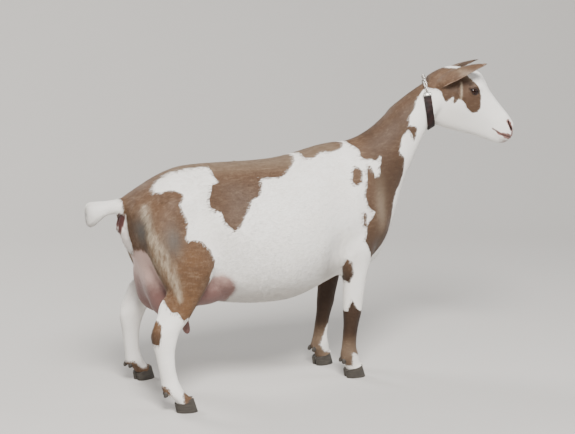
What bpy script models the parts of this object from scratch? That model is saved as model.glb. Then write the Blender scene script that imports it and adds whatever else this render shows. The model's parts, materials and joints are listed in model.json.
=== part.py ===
# A dwarf dairy doe standing in show pose, life size, as one still model.
# Metres. +X runs from tail to head, +Y to the doe's left, +Z up. The soles stand on Z = 0.

import math

import bmesh
import bpy
import numpy as np
from mathutils import Matrix, Vector

# Driving sizes, in metres
WITHERS = 0.538
GAP = 0.0003
FLESH_VOXEL = 0.0038
HEAD_VOXEL = 0.0021
RING_POINTS = 40

# The head's own frame: its root between the ears, its pitch down and its turn to the doe's right
HEAD_ROOT = Vector((0.4226, -0.035, 0.6272))
HEAD_PITCH = math.radians(26.0)
HEAD_TURN = math.radians(-19.0)

# Torso: x, back height, belly height, height of the widest level, half width, squareness above, below
TORSO = [
    (-0.337, 0.432, 0.345, 0.390, 0.030, 2.0, 2.0),
    (-0.325, 0.446, 0.315, 0.388, 0.056, 2.1, 2.1),
    (-0.295, 0.465, 0.285, 0.385, 0.076, 2.1, 2.1),
    (-0.250, 0.488, 0.255, 0.385, 0.088, 2.1, 2.1),
    (-0.205, 0.502, 0.228, 0.385, 0.095, 2.1, 2.1),
    (-0.155, 0.506, 0.206, 0.360, 0.108, 1.9, 2.2),
    (-0.100, 0.506, 0.193, 0.335, 0.128, 1.8, 2.2),
    (-0.040, 0.505, 0.187, 0.325, 0.141, 1.85, 2.2),
    (0.020, 0.507, 0.187, 0.328, 0.142, 1.9, 2.2),
    (0.070, 0.516, 0.195, 0.335, 0.131, 1.85, 2.1),
    (0.120, 0.529, 0.210, 0.345, 0.112, 1.75, 2.0),
    (0.160, WITHERS - 0.002, 0.223, 0.355, 0.096, 1.65, 2.0),
    (0.200, WITHERS - 0.006, 0.233, 0.362, 0.088, 1.65, 2.0),
    (0.240, 0.500, 0.245, 0.362, 0.078, 1.8, 2.0),
    (0.270, 0.450, 0.262, 0.355, 0.062, 2.0, 2.0),
    (0.290, 0.400, 0.290, 0.345, 0.038, 2.0, 2.0),
]

# Neck: crest x, z, throat x, z, half width, side shift (minus is to the doe's right)
NECK = [
    (0.120, 0.520, 0.262, 0.270, 0.060, 0.000),
    (0.165, 0.531, 0.292, 0.300, 0.073, 0.000),
    (0.215, 0.540, 0.312, 0.345, 0.069, -0.001),
    (0.262, 0.563, 0.326, 0.400, 0.059, -0.004),
    (0.302, 0.598, 0.343, 0.452, 0.051, -0.010),
    (0.339, 0.630, 0.358, 0.495, 0.046, -0.018),
    (0.376, 0.655, 0.374, 0.536, 0.0425, -0.026),
    (0.410, 0.675, 0.395, 0.573, 0.040, -0.033),
    (0.440, 0.680, 0.435, 0.600, 0.032, -0.040),
]

# Head, in its own frame: distance along, crown, chin, then half width and height of brow, cheek and jaw
HEAD = [
    (-0.0462, 0.0352, -0.0264, 0.0198, 0.0246, 0.0252, 0.0035, 0.0162, -0.0158),
    (-0.0277, 0.0581, -0.0458, 0.0279, 0.0414, 0.0360, 0.0053, 0.0234, -0.0299),
    (-0.0092, 0.0730, -0.0581, 0.0324, 0.0546, 0.0405, 0.0070, 0.0270, -0.0387),
    (0.0185, 0.0827, -0.0629, 0.0342, 0.0651, 0.0432, 0.0088, 0.0279, -0.0422),
    (0.0416, 0.0880, -0.0607, 0.0347, 0.0704, 0.0432, 0.0123, 0.0266, -0.0414),
    (0.0601, 0.0884, -0.0572, 0.0347, 0.0686, 0.0414, 0.0141, 0.0248, -0.0387),
    (0.0785, 0.0774, -0.0537, 0.0319, 0.0572, 0.0369, 0.0114, 0.0225, -0.0361),
    (0.0970, 0.0634, -0.0497, 0.0266, 0.0458, 0.0324, 0.0079, 0.0203, -0.0343),
    (0.1201, 0.0515, -0.0458, 0.0216, 0.0370, 0.0270, 0.0035, 0.0180, -0.0317),
    (0.1432, 0.0409, -0.0436, 0.0189, 0.0282, 0.0243, 0.0000, 0.0169, -0.0299),
    (0.1645, 0.0312, -0.0409, 0.0185, 0.0202, 0.0238, -0.0026, 0.0166, -0.0282),
    (0.1793, 0.0216, -0.0356, 0.0171, 0.0123, 0.0216, -0.0062, 0.0149, -0.0246),
    (0.1885, 0.0088, -0.0290, 0.0131, 0.0018, 0.0166, -0.0097, 0.0113, -0.0202),
    (0.1940, -0.0018, -0.0211, 0.0072, -0.0044, 0.0086, -0.0106, 0.0063, -0.0158),
]
EYE_AT = (0.0555, 0.0330, 0.0420)
EYE_RADIUS = 0.0108
LID_THICK = 0.0020
EYE_OPENING = (0.0200, 0.0112)
MOUTH_LINE = [(0.1400, -0.0140), (0.1530, -0.0165), (0.1680, -0.0175), (0.1820, -0.0145), (0.1950, -0.0110)]
MOUTH_GROOVE = 0.0012
LIP_RADIUS = 0.0038
NOSTRIL_AT = (0.1705, 0.0125, 0.0105)

# Ears, in the head's frame: root and tip
EAR_ROOT = (-0.0190, 0.0265, 0.0200)
EAR_TIP = {-1: (0.0530, 0.066, 0.1130), 1: (0.0625, 0.060, 0.1180)}
# Share of the length, half width, depth of the cup
EAR = [
    (-0.07, 0.0130, 0.0110),
    (0.04, 0.0175, 0.0150),
    (0.16, 0.0225, 0.0165),
    (0.32, 0.0250, 0.0150),
    (0.50, 0.0230, 0.0120),
    (0.68, 0.0180, 0.0085),
    (0.84, 0.0115, 0.0052),
    (0.94, 0.0062, 0.0030),
    (1.00, 0.0026, 0.0015),
]
EAR_WALL = 0.0028

# Forelegs, right then left foot: sole centre x, y
FORE_FEET = {"right": (0.190, -0.066), "left": (0.172, 0.058)}
LEAN = {"fore_right": 0.0, "fore_left": 0.09, "hind_right": 0.0, "hind_left": 0.0}
# Height, shift of the middle from above the sole, half depth, half width, share of the way out to the foot
FORELEG = [
    (0.400, -0.010, 0.034, 0.016, 0.86),
    (0.350, 0.000, 0.048, 0.024, 0.90),
    (0.300, 0.000, 0.049, 0.030, 0.94),
    (0.262, -0.003, 0.0390, 0.029, 0.97),
    (0.225, -0.004, 0.0290, 0.0245, 1.0),
    (0.190, -0.0063, 0.0265, 0.0215, 1.0),
    (0.165, -0.0080, 0.0235, 0.0200, 1.0),
    (0.148, -0.0085, 0.0225, 0.0200, 1.0),
    (0.128, -0.0105, 0.0190, 0.0172, 1.0),
    (0.100, -0.0135, 0.0174, 0.0152, 1.0),
    (0.072, -0.0155, 0.0180, 0.0158, 1.0),
    (0.050, -0.0140, 0.0222, 0.0192, 1.0),
    (0.036, -0.0090, 0.0200, 0.0188, 1.0),
    (0.024, -0.002, 0.0212, 0.0196, 1.0),
    (0.012, 0.002, 0.0222, 0.0200, 1.0),
    (0.000, 0.003, 0.0222, 0.0200, 1.0),
]

# Hind legs, in the same way
HIND_FEET = {"right": (-0.250, -0.134), "left": (-0.247, 0.131)}
HINDLEG = [
    (0.455, 0.030, 0.055, 0.030, 0.42),
    (0.410, 0.020, 0.080, 0.040, 0.48),
    (0.360, 0.015, 0.083, 0.044, 0.55),
    (0.310, 0.017, 0.070, 0.043, 0.62),
    (0.275, 0.017, 0.0550, 0.0370, 0.67),
    (0.240, 0.016, 0.0400, 0.0295, 0.72),
    (0.210, 0.003, 0.0300, 0.0240, 0.76),
    (0.190, -0.0125, 0.0313, 0.0215, 0.79),
    (0.168, -0.035, 0.0335, 0.0205, 0.82),
    (0.148, -0.039, 0.0285, 0.0195, 0.85),
    (0.125, -0.0395, 0.0225, 0.0172, 0.88),
    (0.095, -0.038, 0.0198, 0.0160, 0.92),
    (0.068, -0.034, 0.0200, 0.0162, 0.95),
    (0.047, -0.029, 0.0228, 0.0192, 0.98),
    (0.034, -0.017, 0.0205, 0.0188, 1.0),
    (0.024, -0.005, 0.0218, 0.0196, 1.0),
    (0.012, 0.001, 0.0224, 0.0200, 1.0),
    (0.000, 0.002, 0.0224, 0.0200, 1.0),
]
TOE_OUT = {"fore": math.radians(6.0), "hind": math.radians(16.0)}

# Hooves: each claw's length and width, the wall's height at the toe and heel, the gap to its
# neighbour's middle and the backward slope of its wall
CLAW_LENGTH = 0.0445
CLAW_WIDTH = 0.0178
CLAW_TOE_HEIGHT = 0.0295
CLAW_HEEL_HEIGHT = 0.0185
CLAW_SPREAD = 0.0094
CLAW_SLOPE = 0.0060
DEWCLAW_RADIUS = 0.0046

# Soft raises and hollows of the body: place (left side), reach each way, height
SWELLS = [
    ((-0.188, 0.085, 0.470), (0.030, 0.040, 0.024), 0.0085),
    ((-0.324, 0.050, 0.414), (0.022, 0.030, 0.028), 0.0090),
    ((-0.255, 0.095, 0.440), (0.030, 0.040, 0.030), 0.0050),
    ((-0.205, 0.100, 0.405), (0.028, 0.050, 0.030), -0.0050),
    ((-0.128, 0.120, 0.430), (0.032, 0.060, 0.036), -0.0085),
    ((-0.185, 0.115, 0.292), (0.026, 0.045, 0.032), 0.0080),
    ((-0.140, 0.095, 0.255), (0.030, 0.040, 0.024), 0.0060),
    ((-0.275, 0.090, 0.335), (0.026, 0.050, 0.060), 0.0050),
    ((-0.335, 0.000, 0.375), (0.020, 0.018, 0.024), 0.0060),
    ((-0.330, 0.022, 0.340), (0.020, 0.012, 0.040), -0.0040),
    ((0.200, 0.095, 0.440), (0.016, 0.040, 0.060), 0.0060),
    ((0.232, 0.085, 0.390), (0.020, 0.040, 0.050), 0.0040),
    ((0.165, 0.105, 0.400), (0.020, 0.050, 0.060), 0.0040),
    ((0.262, 0.072, 0.340), (0.024, 0.036, 0.030), 0.0080),
    ((0.238, 0.090, 0.440), (0.012, 0.040, 0.050), -0.0045),
    ((0.152, 0.095, 0.278), (0.016, 0.030, 0.022), 0.0080),
    ((0.185, 0.095, 0.300), (0.026, 0.030, 0.030), 0.0060),
    ((0.120, 0.115, 0.300), (0.022, 0.050, 0.040), -0.0060),
    ((0.292, 0.000, 0.315), (0.030, 0.016, 0.045), -0.0030),
    ((0.240, 0.022, 0.262), (0.040, 0.025, 0.030), 0.0060),
    ((0.330, 0.062, 0.520), (0.050, 0.016, 0.016), -0.0035),
]

# Tail: x, middle height, half height, half width
TAIL = [
    (-0.300, 0.430, 0.022, 0.020),
    (-0.325, 0.428, 0.0205, 0.0195),
    (-0.345, 0.4250, 0.0175, 0.0180),
    (-0.365, 0.4240, 0.0165, 0.0185),
    (-0.382, 0.4200, 0.0190, 0.0205),
    (-0.398, 0.4140, 0.0260, 0.0225),
    (-0.411, 0.4110, 0.0285, 0.0205),
    (-0.419, 0.4130, 0.0210, 0.0130),
]

# Udder, half of it: middle x, y, z and radii of its rear, middle and fore lobes
UDDER = [
    ((-0.258, 0.027, 0.270), (0.048, 0.043, 0.072)),
    ((-0.238, 0.035, 0.234), (0.059, 0.047, 0.058)),
    ((-0.175, 0.036, 0.246), (0.072, 0.048, 0.046)),
    ((-0.130, 0.032, 0.245), (0.045, 0.044, 0.040)),
]
TEAT_TOP = (-0.226, 0.046, 0.192)
TEAT_TIP = (-0.214, 0.056, 0.143)
TEAT_RADII = (0.0150, 0.0105)

# Collar: its middle on the neck, the turn and rise of its axis, strap width and thickness, clearance
# to the hair, half the turn that the strap spans about the throat and its lift at the ends
COLLAR_AT = (0.3915, -0.028, 0.6200)
COLLAR_TURN = math.radians(-26.7)
COLLAR_LEAN = 0.15
STRAP_WIDTH = 0.018
STRAP_THICK = 0.0034
STRAP_CLEAR = 0.0006
STRAP_REACH = 1.84
STRAP_LIFT = 0.004

# Where the skin is parted: points of the head's and the neck's cuts, x of the tail's cut, and the
# arches of the legs as back x, front x, top z and inner distance from the middle
HEAD_CUT = (0.3865, -0.028, 0.620)
NECK_CUT = (0.235, 0.0, 0.550)
TAIL_CUT = -0.3445
FORE_REGION = (0.128, 0.262, 0.345, 0.030)
HIND_REGION = (-0.365, -0.138, 0.405, 0.036)

# Triangles left by the thinning of body, face, udder, each ear and the chain
BODY_TRIANGLES = 6700
FACE_TRIANGLES = 1900
UDDER_TRIANGLES = 1300
EAR_TRIANGLES = 620
CHAIN_TRIANGLES = 700


def clear_scene():
    for obj in list(bpy.data.objects):
        bpy.data.objects.remove(obj)


def material(name, colour, roughness, metallic=0.0):
    made = bpy.data.materials.new(name)
    made.use_nodes = True
    shader = made.node_tree.nodes["Principled BSDF"]
    shader.inputs["Base Color"].default_value = (*colour, 1.0)
    shader.inputs["Roughness"].default_value = roughness
    shader.inputs["Metallic"].default_value = metallic
    return made


def collection(name, hidden=False):
    made = bpy.data.collections.new(name)
    bpy.context.scene.collection.children.link(made)
    made.hide_render = hidden
    return made


def add_object(name, mesh, home):
    obj = bpy.data.objects.new(name, mesh)
    home.objects.link(obj)
    return obj


def smooth_rows(rows, count):
    """Catmull-Rom rows between the given ones, evenly spaced in the row number."""
    rows = np.array(rows, float)
    padded = np.vstack([2 * rows[0] - rows[1], rows, 2 * rows[-1] - rows[-2]])
    place = np.linspace(0, len(rows) - 1, count)
    low = np.minimum(place.astype(int), len(rows) - 2)
    t = (place - low)[:, None]
    a, b, c, d = (padded[low + k] for k in range(4))
    return 0.5 * (
        2 * b + (c - a) * t + (2 * a - 5 * b + 4 * c - d) * t**2 + (3 * b - a - 3 * c + d) * t**3
    )


def closed_curve(points, count):
    """A closed Catmull-Rom curve through the points, as count points."""
    points = np.array(points, float)
    place = np.linspace(0, len(points), count, endpoint=False)
    low = place.astype(int)
    t = (place - low)[:, None]
    a, b, c, d = (points[(low + k) % len(points)] for k in (-1, 0, 1, 2))
    return 0.5 * (
        2 * b + (c - a) * t + (2 * a - 5 * b + 4 * c - d) * t**2 + (3 * b - a - 3 * c + d) * t**3
    )


def loft(name, rings, home):
    """A closed skin over rings of points, an array of (rings, points, 3), capped at both ends."""
    rings = np.asarray(rings, float)
    count, around = rings.shape[:2]
    caps = [rings[0].mean(0), rings[-1].mean(0)]
    points = np.vstack([rings.reshape(-1, 3), caps])
    first, last = len(points) - 2, len(points) - 1
    faces = []
    for i in range(count - 1):
        for j in range(around):
            k = (j + 1) % around
            faces.append((i * around + j, i * around + k, (i + 1) * around + k, (i + 1) * around + j))
    for j in range(around):
        k = (j + 1) % around
        faces.append((first, k, j))
        faces.append((last, (count - 1) * around + j, (count - 1) * around + k))
    mesh = bpy.data.meshes.new(name)
    mesh.from_pydata([tuple(p) for p in points], [], faces)
    work = bmesh.new()
    work.from_mesh(mesh)
    bmesh.ops.recalc_face_normals(work, faces=work.faces)
    work.to_mesh(mesh)
    work.free()
    return add_object(name, mesh, home)


def superellipse(count, above, below):
    """Points (across, up) of a unit ring whose squareness differs above and below."""
    turn = np.linspace(0, 2 * math.pi, count, endpoint=False)
    cosine, sine = np.cos(turn), np.sin(turn)
    power = np.where(sine >= 0, 2 / above, 2 / below)
    return np.sign(cosine) * np.abs(cosine) ** power, np.sign(sine) * np.abs(sine) ** power


def ellipsoid(name, centre, radii, home, segments=24):
    work = bmesh.new()
    bmesh.ops.create_uvsphere(work, u_segments=segments, v_segments=segments // 2, radius=1.0)
    matrix = Matrix.Translation(centre) @ Matrix.Diagonal((*radii, 1.0))
    bmesh.ops.transform(work, matrix=matrix, verts=work.verts)
    mesh = bpy.data.meshes.new(name)
    work.to_mesh(mesh)
    work.free()
    return add_object(name, mesh, home)


def tube(name, points, radii, home, sides=10):
    """A round tube through the points, its radius given at each, with closed ends."""
    points = [Vector(p) for p in points]
    rings = []
    for i, point in enumerate(points):
        ahead = points[min(i + 1, len(points) - 1)] - points[max(i - 1, 0)]
        ahead.normalize()
        across = ahead.cross(Vector((0.12, 0.05, 1.0))).normalized()
        up = across.cross(ahead)
        ring = []
        for j in range(sides):
            turn = 2 * math.pi * j / sides
            ring.append(point + radii[i] * (math.cos(turn) * across + math.sin(turn) * up))
        rings.append([tuple(p) for p in ring])
    return loft(name, rings, home)


def head_frame():
    """The matrix from the head's own frame (along, left, up) to the doe's."""
    turn = Matrix.Rotation(HEAD_TURN, 4, "Z") @ Matrix.Rotation(HEAD_PITCH, 4, "Y")
    return Matrix.Translation(HEAD_ROOT) @ turn


def in_head(along, left, up):
    return head_frame() @ Vector((along, left, up))


def apply_modifiers(obj):
    graph = bpy.context.evaluated_depsgraph_get()
    mesh = bpy.data.meshes.new_from_object(obj.evaluated_get(graph))
    obj.modifiers.clear()
    old = obj.data
    obj.data = mesh
    bpy.data.meshes.remove(old)
    return obj


def merge(name, objects, home):
    """One object that holds the meshes of the given ones, which are removed."""
    work = bmesh.new()
    for obj in objects:
        work.from_mesh(obj.data)
    mesh = bpy.data.meshes.new(name)
    work.to_mesh(mesh)
    work.free()
    for obj in objects:
        bpy.data.objects.remove(obj)
    return add_object(name, mesh, home)


def melt(obj, voxel, rounds):
    """Overlapping closed shapes made one skin, with their joins smoothed over."""
    remesh = obj.modifiers.new("melt", "REMESH")
    remesh.mode = "VOXEL"
    remesh.voxel_size = voxel
    smooth = obj.modifiers.new("soften", "SMOOTH")
    smooth.factor = 0.5
    smooth.iterations = rounds
    return apply_modifiers(obj)


def decimate(obj, triangles):
    """Thins the mesh to about that many triangles."""
    work = bmesh.new()
    work.from_mesh(obj.data)
    bmesh.ops.triangulate(work, faces=work.faces)
    work.to_mesh(obj.data)
    work.free()
    thin = obj.modifiers.new("thin", "DECIMATE")
    thin.ratio = min(1.0, triangles / len(obj.data.polygons))
    return apply_modifiers(obj)


def is_closed(mesh):
    work = bmesh.new()
    work.from_mesh(mesh)
    closed = len(work.faces) > 0 and all(len(e.link_faces) == 2 for e in work.edges)
    work.free()
    return closed


def boolean(obj, other, operation):
    """Cuts exactly, or with the manifold solver where the exact one leaves the skin open."""
    before = obj.data.copy()
    for solver in ("EXACT", "MANIFOLD"):
        obj.data = before.copy()
        cut = obj.modifiers.new(operation.lower(), "BOOLEAN")
        cut.operation = operation
        cut.solver = solver
        cut.object = other
        apply_modifiers(obj)
        if is_closed(obj.data):
            break
    bpy.data.meshes.remove(before)
    return obj


def copy_of(obj, name, home):
    return add_object(name, obj.data.copy(), home)


def grown(obj, name, distance, home):
    """A copy of obj with its skin moved out by distance."""
    made = copy_of(obj, name, home)
    move = made.modifiers.new("grow", "DISPLACE")
    move.strength = distance
    move.mid_level = 0.0
    return apply_modifiers(made)


def slice_plane(obj, point, normal, keep_ahead):
    """Cuts obj on a plane, fills the cut and keeps the side ahead of the normal or behind it."""
    work = bmesh.new()
    work.from_mesh(obj.data)
    geometry = work.verts[:] + work.edges[:] + work.faces[:]
    cut = bmesh.ops.bisect_plane(
        work,
        geom=geometry,
        plane_co=point,
        plane_no=normal,
        clear_outer=not keep_ahead,
        clear_inner=keep_ahead,
    )
    edges = [e for e in cut["geom_cut"] if isinstance(e, bmesh.types.BMEdge)]
    bmesh.ops.holes_fill(work, edges=edges, sides=0)
    bmesh.ops.triangulate(work, faces=[f for f in work.faces if len(f.verts) > 3])
    bmesh.ops.recalc_face_normals(work, faces=work.faces)
    work.to_mesh(obj.data)
    work.free()
    return obj


def keep_largest(obj):
    """Drops every loose piece but the one with the most faces."""
    work = bmesh.new()
    work.from_mesh(obj.data)
    left = set(work.verts)
    islands = []
    while left:
        stack = [left.pop()]
        island = set(stack)
        while stack:
            for edge in stack.pop().link_edges:
                for vert in edge.verts:
                    if vert not in island:
                        island.add(vert)
                        left.discard(vert)
                        stack.append(vert)
        islands.append(island)
    largest = max(islands, key=len)
    bmesh.ops.delete(work, geom=[v for v in work.verts if v not in largest], context="VERTS")
    work.to_mesh(obj.data)
    work.free()
    return obj


def torso_shape(home):
    rows = smooth_rows(TORSO, 60)
    rings = []
    for x, top, bottom, wide, width, above, below in rows:
        across, up = superellipse(RING_POINTS, above, below)
        height = np.where(up >= 0, wide + up * (top - wide), wide + up * (wide - bottom))
        rings.append(np.column_stack([np.full(RING_POINTS, x), across * width, height]))
    return loft("torso_shape", rings, home)


def neck_shape(home):
    rows = smooth_rows(NECK, 40)
    rings = []
    for crest_x, crest_z, throat_x, throat_z, width, shift in rows:
        crest = np.array([crest_x, shift, crest_z])
        throat = np.array([throat_x, shift, throat_z])
        middle, half = (crest + throat) / 2, (crest - throat) / 2
        across, up = superellipse(RING_POINTS, 1.85, 2.1)
        rings.append(middle + np.outer(up, half) + np.outer(across * width, [0, 1, 0]))
    return loft("neck_shape", rings, home)


def head_shape(home):
    rings = []
    for along, crown, chin, brow_w, brow_z, cheek_w, cheek_z, jaw_w, jaw_z in smooth_rows(HEAD, 56):
        right = [(0, crown), (brow_w * 0.62, crown * 0.72 + brow_z * 0.28), (brow_w, brow_z)]
        right += [(cheek_w, cheek_z), (jaw_w, jaw_z), (jaw_w * 0.45, chin * 0.93 + jaw_z * 0.07)]
        left = [(-w, z) for w, z in reversed(right[1:])]
        ring = closed_curve(right + [(0, chin)] + left, RING_POINTS)
        rings.append([tuple(in_head(along, w, z)) for w, z in ring])
    return loft("head_shape", rings, home)


def leg_shape(name, rows, foot, toe_out, lean, home):
    """A leg over its foot: each row is a level ring, its depth turned out towards the toes."""
    side = 1 if foot[1] > 0 else -1
    rings = []
    for height, shift, depth, width, spread in smooth_rows(rows, 44):
        turn = np.linspace(0, 2 * math.pi, 28, endpoint=False)
        share = np.clip((0.30 - height) / 0.25, 0, 1)
        out = side * toe_out * share
        along, across = depth * np.cos(turn), width * np.sin(turn)
        x = foot[0] + lean * height + shift * np.cos(out) + along * np.cos(out) - across * np.sin(out)
        y = foot[1] * spread + shift * np.sin(out) + along * np.sin(out) + across * np.cos(out)
        rings.append(np.column_stack([x, y, np.full(28, height)]))
    return loft(name, rings, home)


def tail_shape(home):
    rings = []
    for x, z, tall, wide in smooth_rows(TAIL, 24):
        across, up = superellipse(24, 2.2, 2.2)
        rings.append(np.column_stack([np.full(24, x), across * wide, z + up * tall]))
    return loft("tail_shape", rings, home)


def heel_cords(home):
    """The cord that runs down the back of each gaskin to the point of the hock."""
    made = []
    for word, (x, y) in HIND_FEET.items():
        point = (x - 0.058, y * 0.81, 0.173)
        made.append(tube("heel_cord", [(x - 0.030, y * 0.73, 0.245), point], (0.009, 0.0115), home))
    return made


def vertex_array(mesh):
    points = np.empty(len(mesh.vertices) * 3, np.float32)
    mesh.vertices.foreach_get("co", points)
    return points.reshape(-1, 3).astype(float)


def put_vertices(mesh, points):
    mesh.vertices.foreach_set("co", points.astype(np.float32).ravel())
    mesh.update()


def soften(obj, rounds):
    """Blends the joins of body and limbs; the thin lower legs are smoothed far less."""
    mesh = obj.data
    points = vertex_array(mesh)
    edges = np.empty(len(mesh.edges) * 2, np.int32)
    mesh.edges.foreach_get("vertices", edges)
    one, two = edges.reshape(-1, 2).T
    count = len(points)
    degree = np.bincount(one, minlength=count) + np.bincount(two, minlength=count)
    weight = np.clip((points[:, 2] - 0.12) / 0.12, 0.06, 1.0) * 0.5
    weight *= np.clip((points[:, 0] + 0.44) / 0.10, 0.2, 1.0)
    for _ in range(rounds):
        total = np.empty_like(points)
        for axis in range(3):
            total[:, axis] = np.bincount(one, points[two, axis], count)
            total[:, axis] += np.bincount(two, points[one, axis], count)
        points += (total / degree[:, None] - points) * weight[:, None]
    put_vertices(mesh, points)


def swell(obj, marks):
    """Raises or sinks the skin softly about each mark, on both sides of the body."""
    mesh = obj.data
    points = vertex_array(mesh)
    normals = np.empty(len(points) * 3, np.float32)
    mesh.vertex_normals.foreach_get("vector", normals)
    move = np.zeros(len(points))
    for centre, radii, height in marks:
        for side in (-1, 1):
            middle = np.array([centre[0], side * centre[1], centre[2]])
            reach = (((points - middle) / np.array(radii)) ** 2).sum(1)
            move += height * np.exp(-reach)
    put_vertices(mesh, points + normals.reshape(-1, 3) * move[:, None])
    return obj


def dewclaws(home):
    made = []
    for kind, feet, z, back in (("fore", FORE_FEET, 0.043, 0.0300), ("hind", HIND_FEET, 0.043, 0.0435)):
        for side, (x, y) in feet.items():
            out = (1 if y > 0 else -1) * TOE_OUT[kind]
            for half in (-1, 1):
                across = half * 0.0095
                place = (
                    x - back * math.cos(out) - across * math.sin(out),
                    y - back * math.sin(out) + across * math.cos(out),
                    z,
                )
                radii = (DEWCLAW_RADIUS * 1.2, DEWCLAW_RADIUS * 0.9, DEWCLAW_RADIUS * 1.3)
                made.append(ellipsoid("dewclaw", place, radii, home))
    return made


def surface_hit(obj, origin, direction):
    """Where a ray from outside first meets obj."""
    origin, direction = Vector(origin), Vector(direction).normalized()
    found, place, _, _ = obj.ray_cast(origin, direction)
    return place if found else None


def mouth_path(head, lift=0.0):
    """The mouth's line round the muzzle, on the head's skin, from the right corner to the left."""
    turn = head_frame().to_3x3()
    line = smooth_rows(MOUTH_LINE, 15)
    middle = line[8][0]
    half = []
    for k, (along, up) in enumerate(line):
        bend = math.radians(82) * max(0, k - 8) / 6
        way = Vector((math.sin(bend), -math.cos(bend), 0))
        start = Vector((min(along, middle), 0, up + lift))
        found = surface_hit(head, in_head(*(start + way * 0.08)), turn @ -way)
        if found is not None:
            half.append(found)
    mirror = head_frame() @ Matrix.Diagonal((1, -1, 1, 1)) @ head_frame().inverted()
    front = surface_hit(head, in_head(0.26, 0, line[-1][1] + lift), turn @ Vector((-1, 0, 0)))
    return half + [front] + [mirror @ p for p in reversed(half)]


def head_flesh(home):
    """The head and the top of the neck as one fine skin, with brows, lids, cheekbones and lips."""
    pieces = [head_shape(home), neck_shape(home)]
    for side in (-1, 1):
        eye = in_head(EYE_AT[0], side * EYE_AT[1], EYE_AT[2])
        pieces.append(ellipsoid("lids", eye, [EYE_RADIUS + LID_THICK] * 3, home))
        brow = [(0.046, 0.0360, 0.0540), (0.060, 0.0378, 0.0560), (0.074, 0.0342, 0.0525)]
        brow = [in_head(a, side * b, c) for a, b, c in brow]
        pieces.append(tube("brow", brow, (0.004, 0.0052, 0.004), home))
        cheek = [(0.058, 0.0385, 0.0230), (0.037, 0.0408, 0.0210), (0.015, 0.0395, 0.0245)]
        cheek = [in_head(a, side * b, c) for a, b, c in cheek]
        pieces.append(tube("cheekbone", cheek, (0.004, 0.006, 0.005), home))
        wing = in_head(0.1755, side * 0.0112, 0.0110)
        pieces.append(ellipsoid("nose_wing", wing, (0.0110, 0.0078, 0.0098), home))
        root = in_head(-0.012, side * 0.0280, 0.027)
        pieces.append(ellipsoid("ear_root", root, (0.016, 0.0145, 0.017), home))
    shell = melt(merge("head_shell", pieces, home), HEAD_VOXEL, 6)
    lips = []
    for lift in (0.0046, -0.0046):
        path = [p.lerp(in_head(0.152, 0, lift - 0.016), 0.06) for p in mouth_path(shell, lift)]
        last = len(path) - 1
        radii = [LIP_RADIUS * (0.55 + 0.45 * math.sin(math.pi * i / last)) for i in range(last + 1)]
        lips.append(tube("lip", path, radii, home, sides=8))
    return melt(merge("head_flesh", [shell, *lips], home), HEAD_VOXEL, 7)


def body_flesh(home):
    pieces = [torso_shape(home), neck_shape(home), head_shape(home), tail_shape(home)]
    for side in ("right", "left"):
        for kind, rows, feet in (("fore", FORELEG, FORE_FEET), ("hind", HINDLEG, HIND_FEET)):
            lean = LEAN[kind + "_" + side]
            pieces.append(leg_shape(kind, rows, feet[side], TOE_OUT[kind], lean, home))
    pieces += heel_cords(home) + dewclaws(home)
    flesh = melt(merge("body_flesh", pieces, home), FLESH_VOXEL, 2)
    soften(flesh, 34)
    return swell(flesh, SWELLS)


def ear_shape(name, side, home):
    """A leaf rolled into a cup that opens outwards and down, as a closed wall."""
    root = in_head(EAR_ROOT[0], side * EAR_ROOT[1], EAR_ROOT[2])
    tip = in_head(EAR_TIP[side][0], side * EAR_TIP[side][1], EAR_TIP[side][2])
    ahead = (tip - root).normalized()
    turn = head_frame().to_3x3()
    open_to = turn @ Vector((0.68, side * -0.42, -0.55))
    open_to = (open_to - ahead * open_to.dot(ahead)).normalized()
    wide = ahead.cross(open_to).normalized()
    rings = []
    for share, half, depth in smooth_rows(EAR, 26):
        middle = root + (tip - root) * share - open_to * 0.006 * math.sin(math.pi * max(share, 0))
        outer, inner = [], []
        for angle in np.linspace(-1.25, 1.25, 11):
            across = half * math.sin(angle) / math.sin(1.25)
            deep = depth * (math.cos(angle) - math.cos(1.25)) / (1 - math.cos(1.25))
            outer.append(middle + wide * across - open_to * deep)
            solid = max(0.0, 1 - (share + 0.06) / 0.16)
            wall = max(min(EAR_WALL, depth * 0.55), depth * solid)
            across_in = across * (1 - min(EAR_WALL, depth * 0.55) / half * 0.8)
            deep_in = deep - wall * (0.35 + 0.65 * math.cos(angle))
            inner.append(middle + wide * across_in - open_to * deep_in)
        rings.append([tuple(p) for p in outer + inner[::-1]])
    return decimate(melt(loft(name, rings, home), 0.0010, 2), EAR_TRIANGLES)


def claw_shape(name, kind, foot, half, home):
    """One claw of a cloven hoof: a flat sole, a sloping toe wall and a slanted top."""
    side = 1 if foot[1] > 0 else -1
    out = side * TOE_OUT[kind] + half * 0.06
    rings = []
    for share in np.linspace(0, 1, 4):
        ring = []
        length = CLAW_LENGTH * (1 - 0.13 * share)
        wide = CLAW_WIDTH * (1 - 0.06 * share)
        outline = [(-0.5, 0.08), (-0.30, 0.44), (0.02, 0.50), (0.30, 0.36), (0.48, 0.02)]
        outline += [(0.50, -0.22), (0.30, -0.42), (0.0, -0.44), (-0.32, -0.42), (-0.48, -0.24)]
        for a, b in closed_curve(outline, 20):
            along = a * length - CLAW_SLOPE * share
            across = half * (CLAW_SPREAD + b * wide)
            height = CLAW_HEEL_HEIGHT + (CLAW_TOE_HEIGHT - CLAW_HEEL_HEIGHT) * (a + 0.5)
            x = foot[0] + along * math.cos(out) - across * math.sin(out)
            y = foot[1] + along * math.sin(out) + across * math.cos(out)
            ring.append((x, y, height * share))
        rings.append(ring)
    return loft(name, rings, home)


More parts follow.
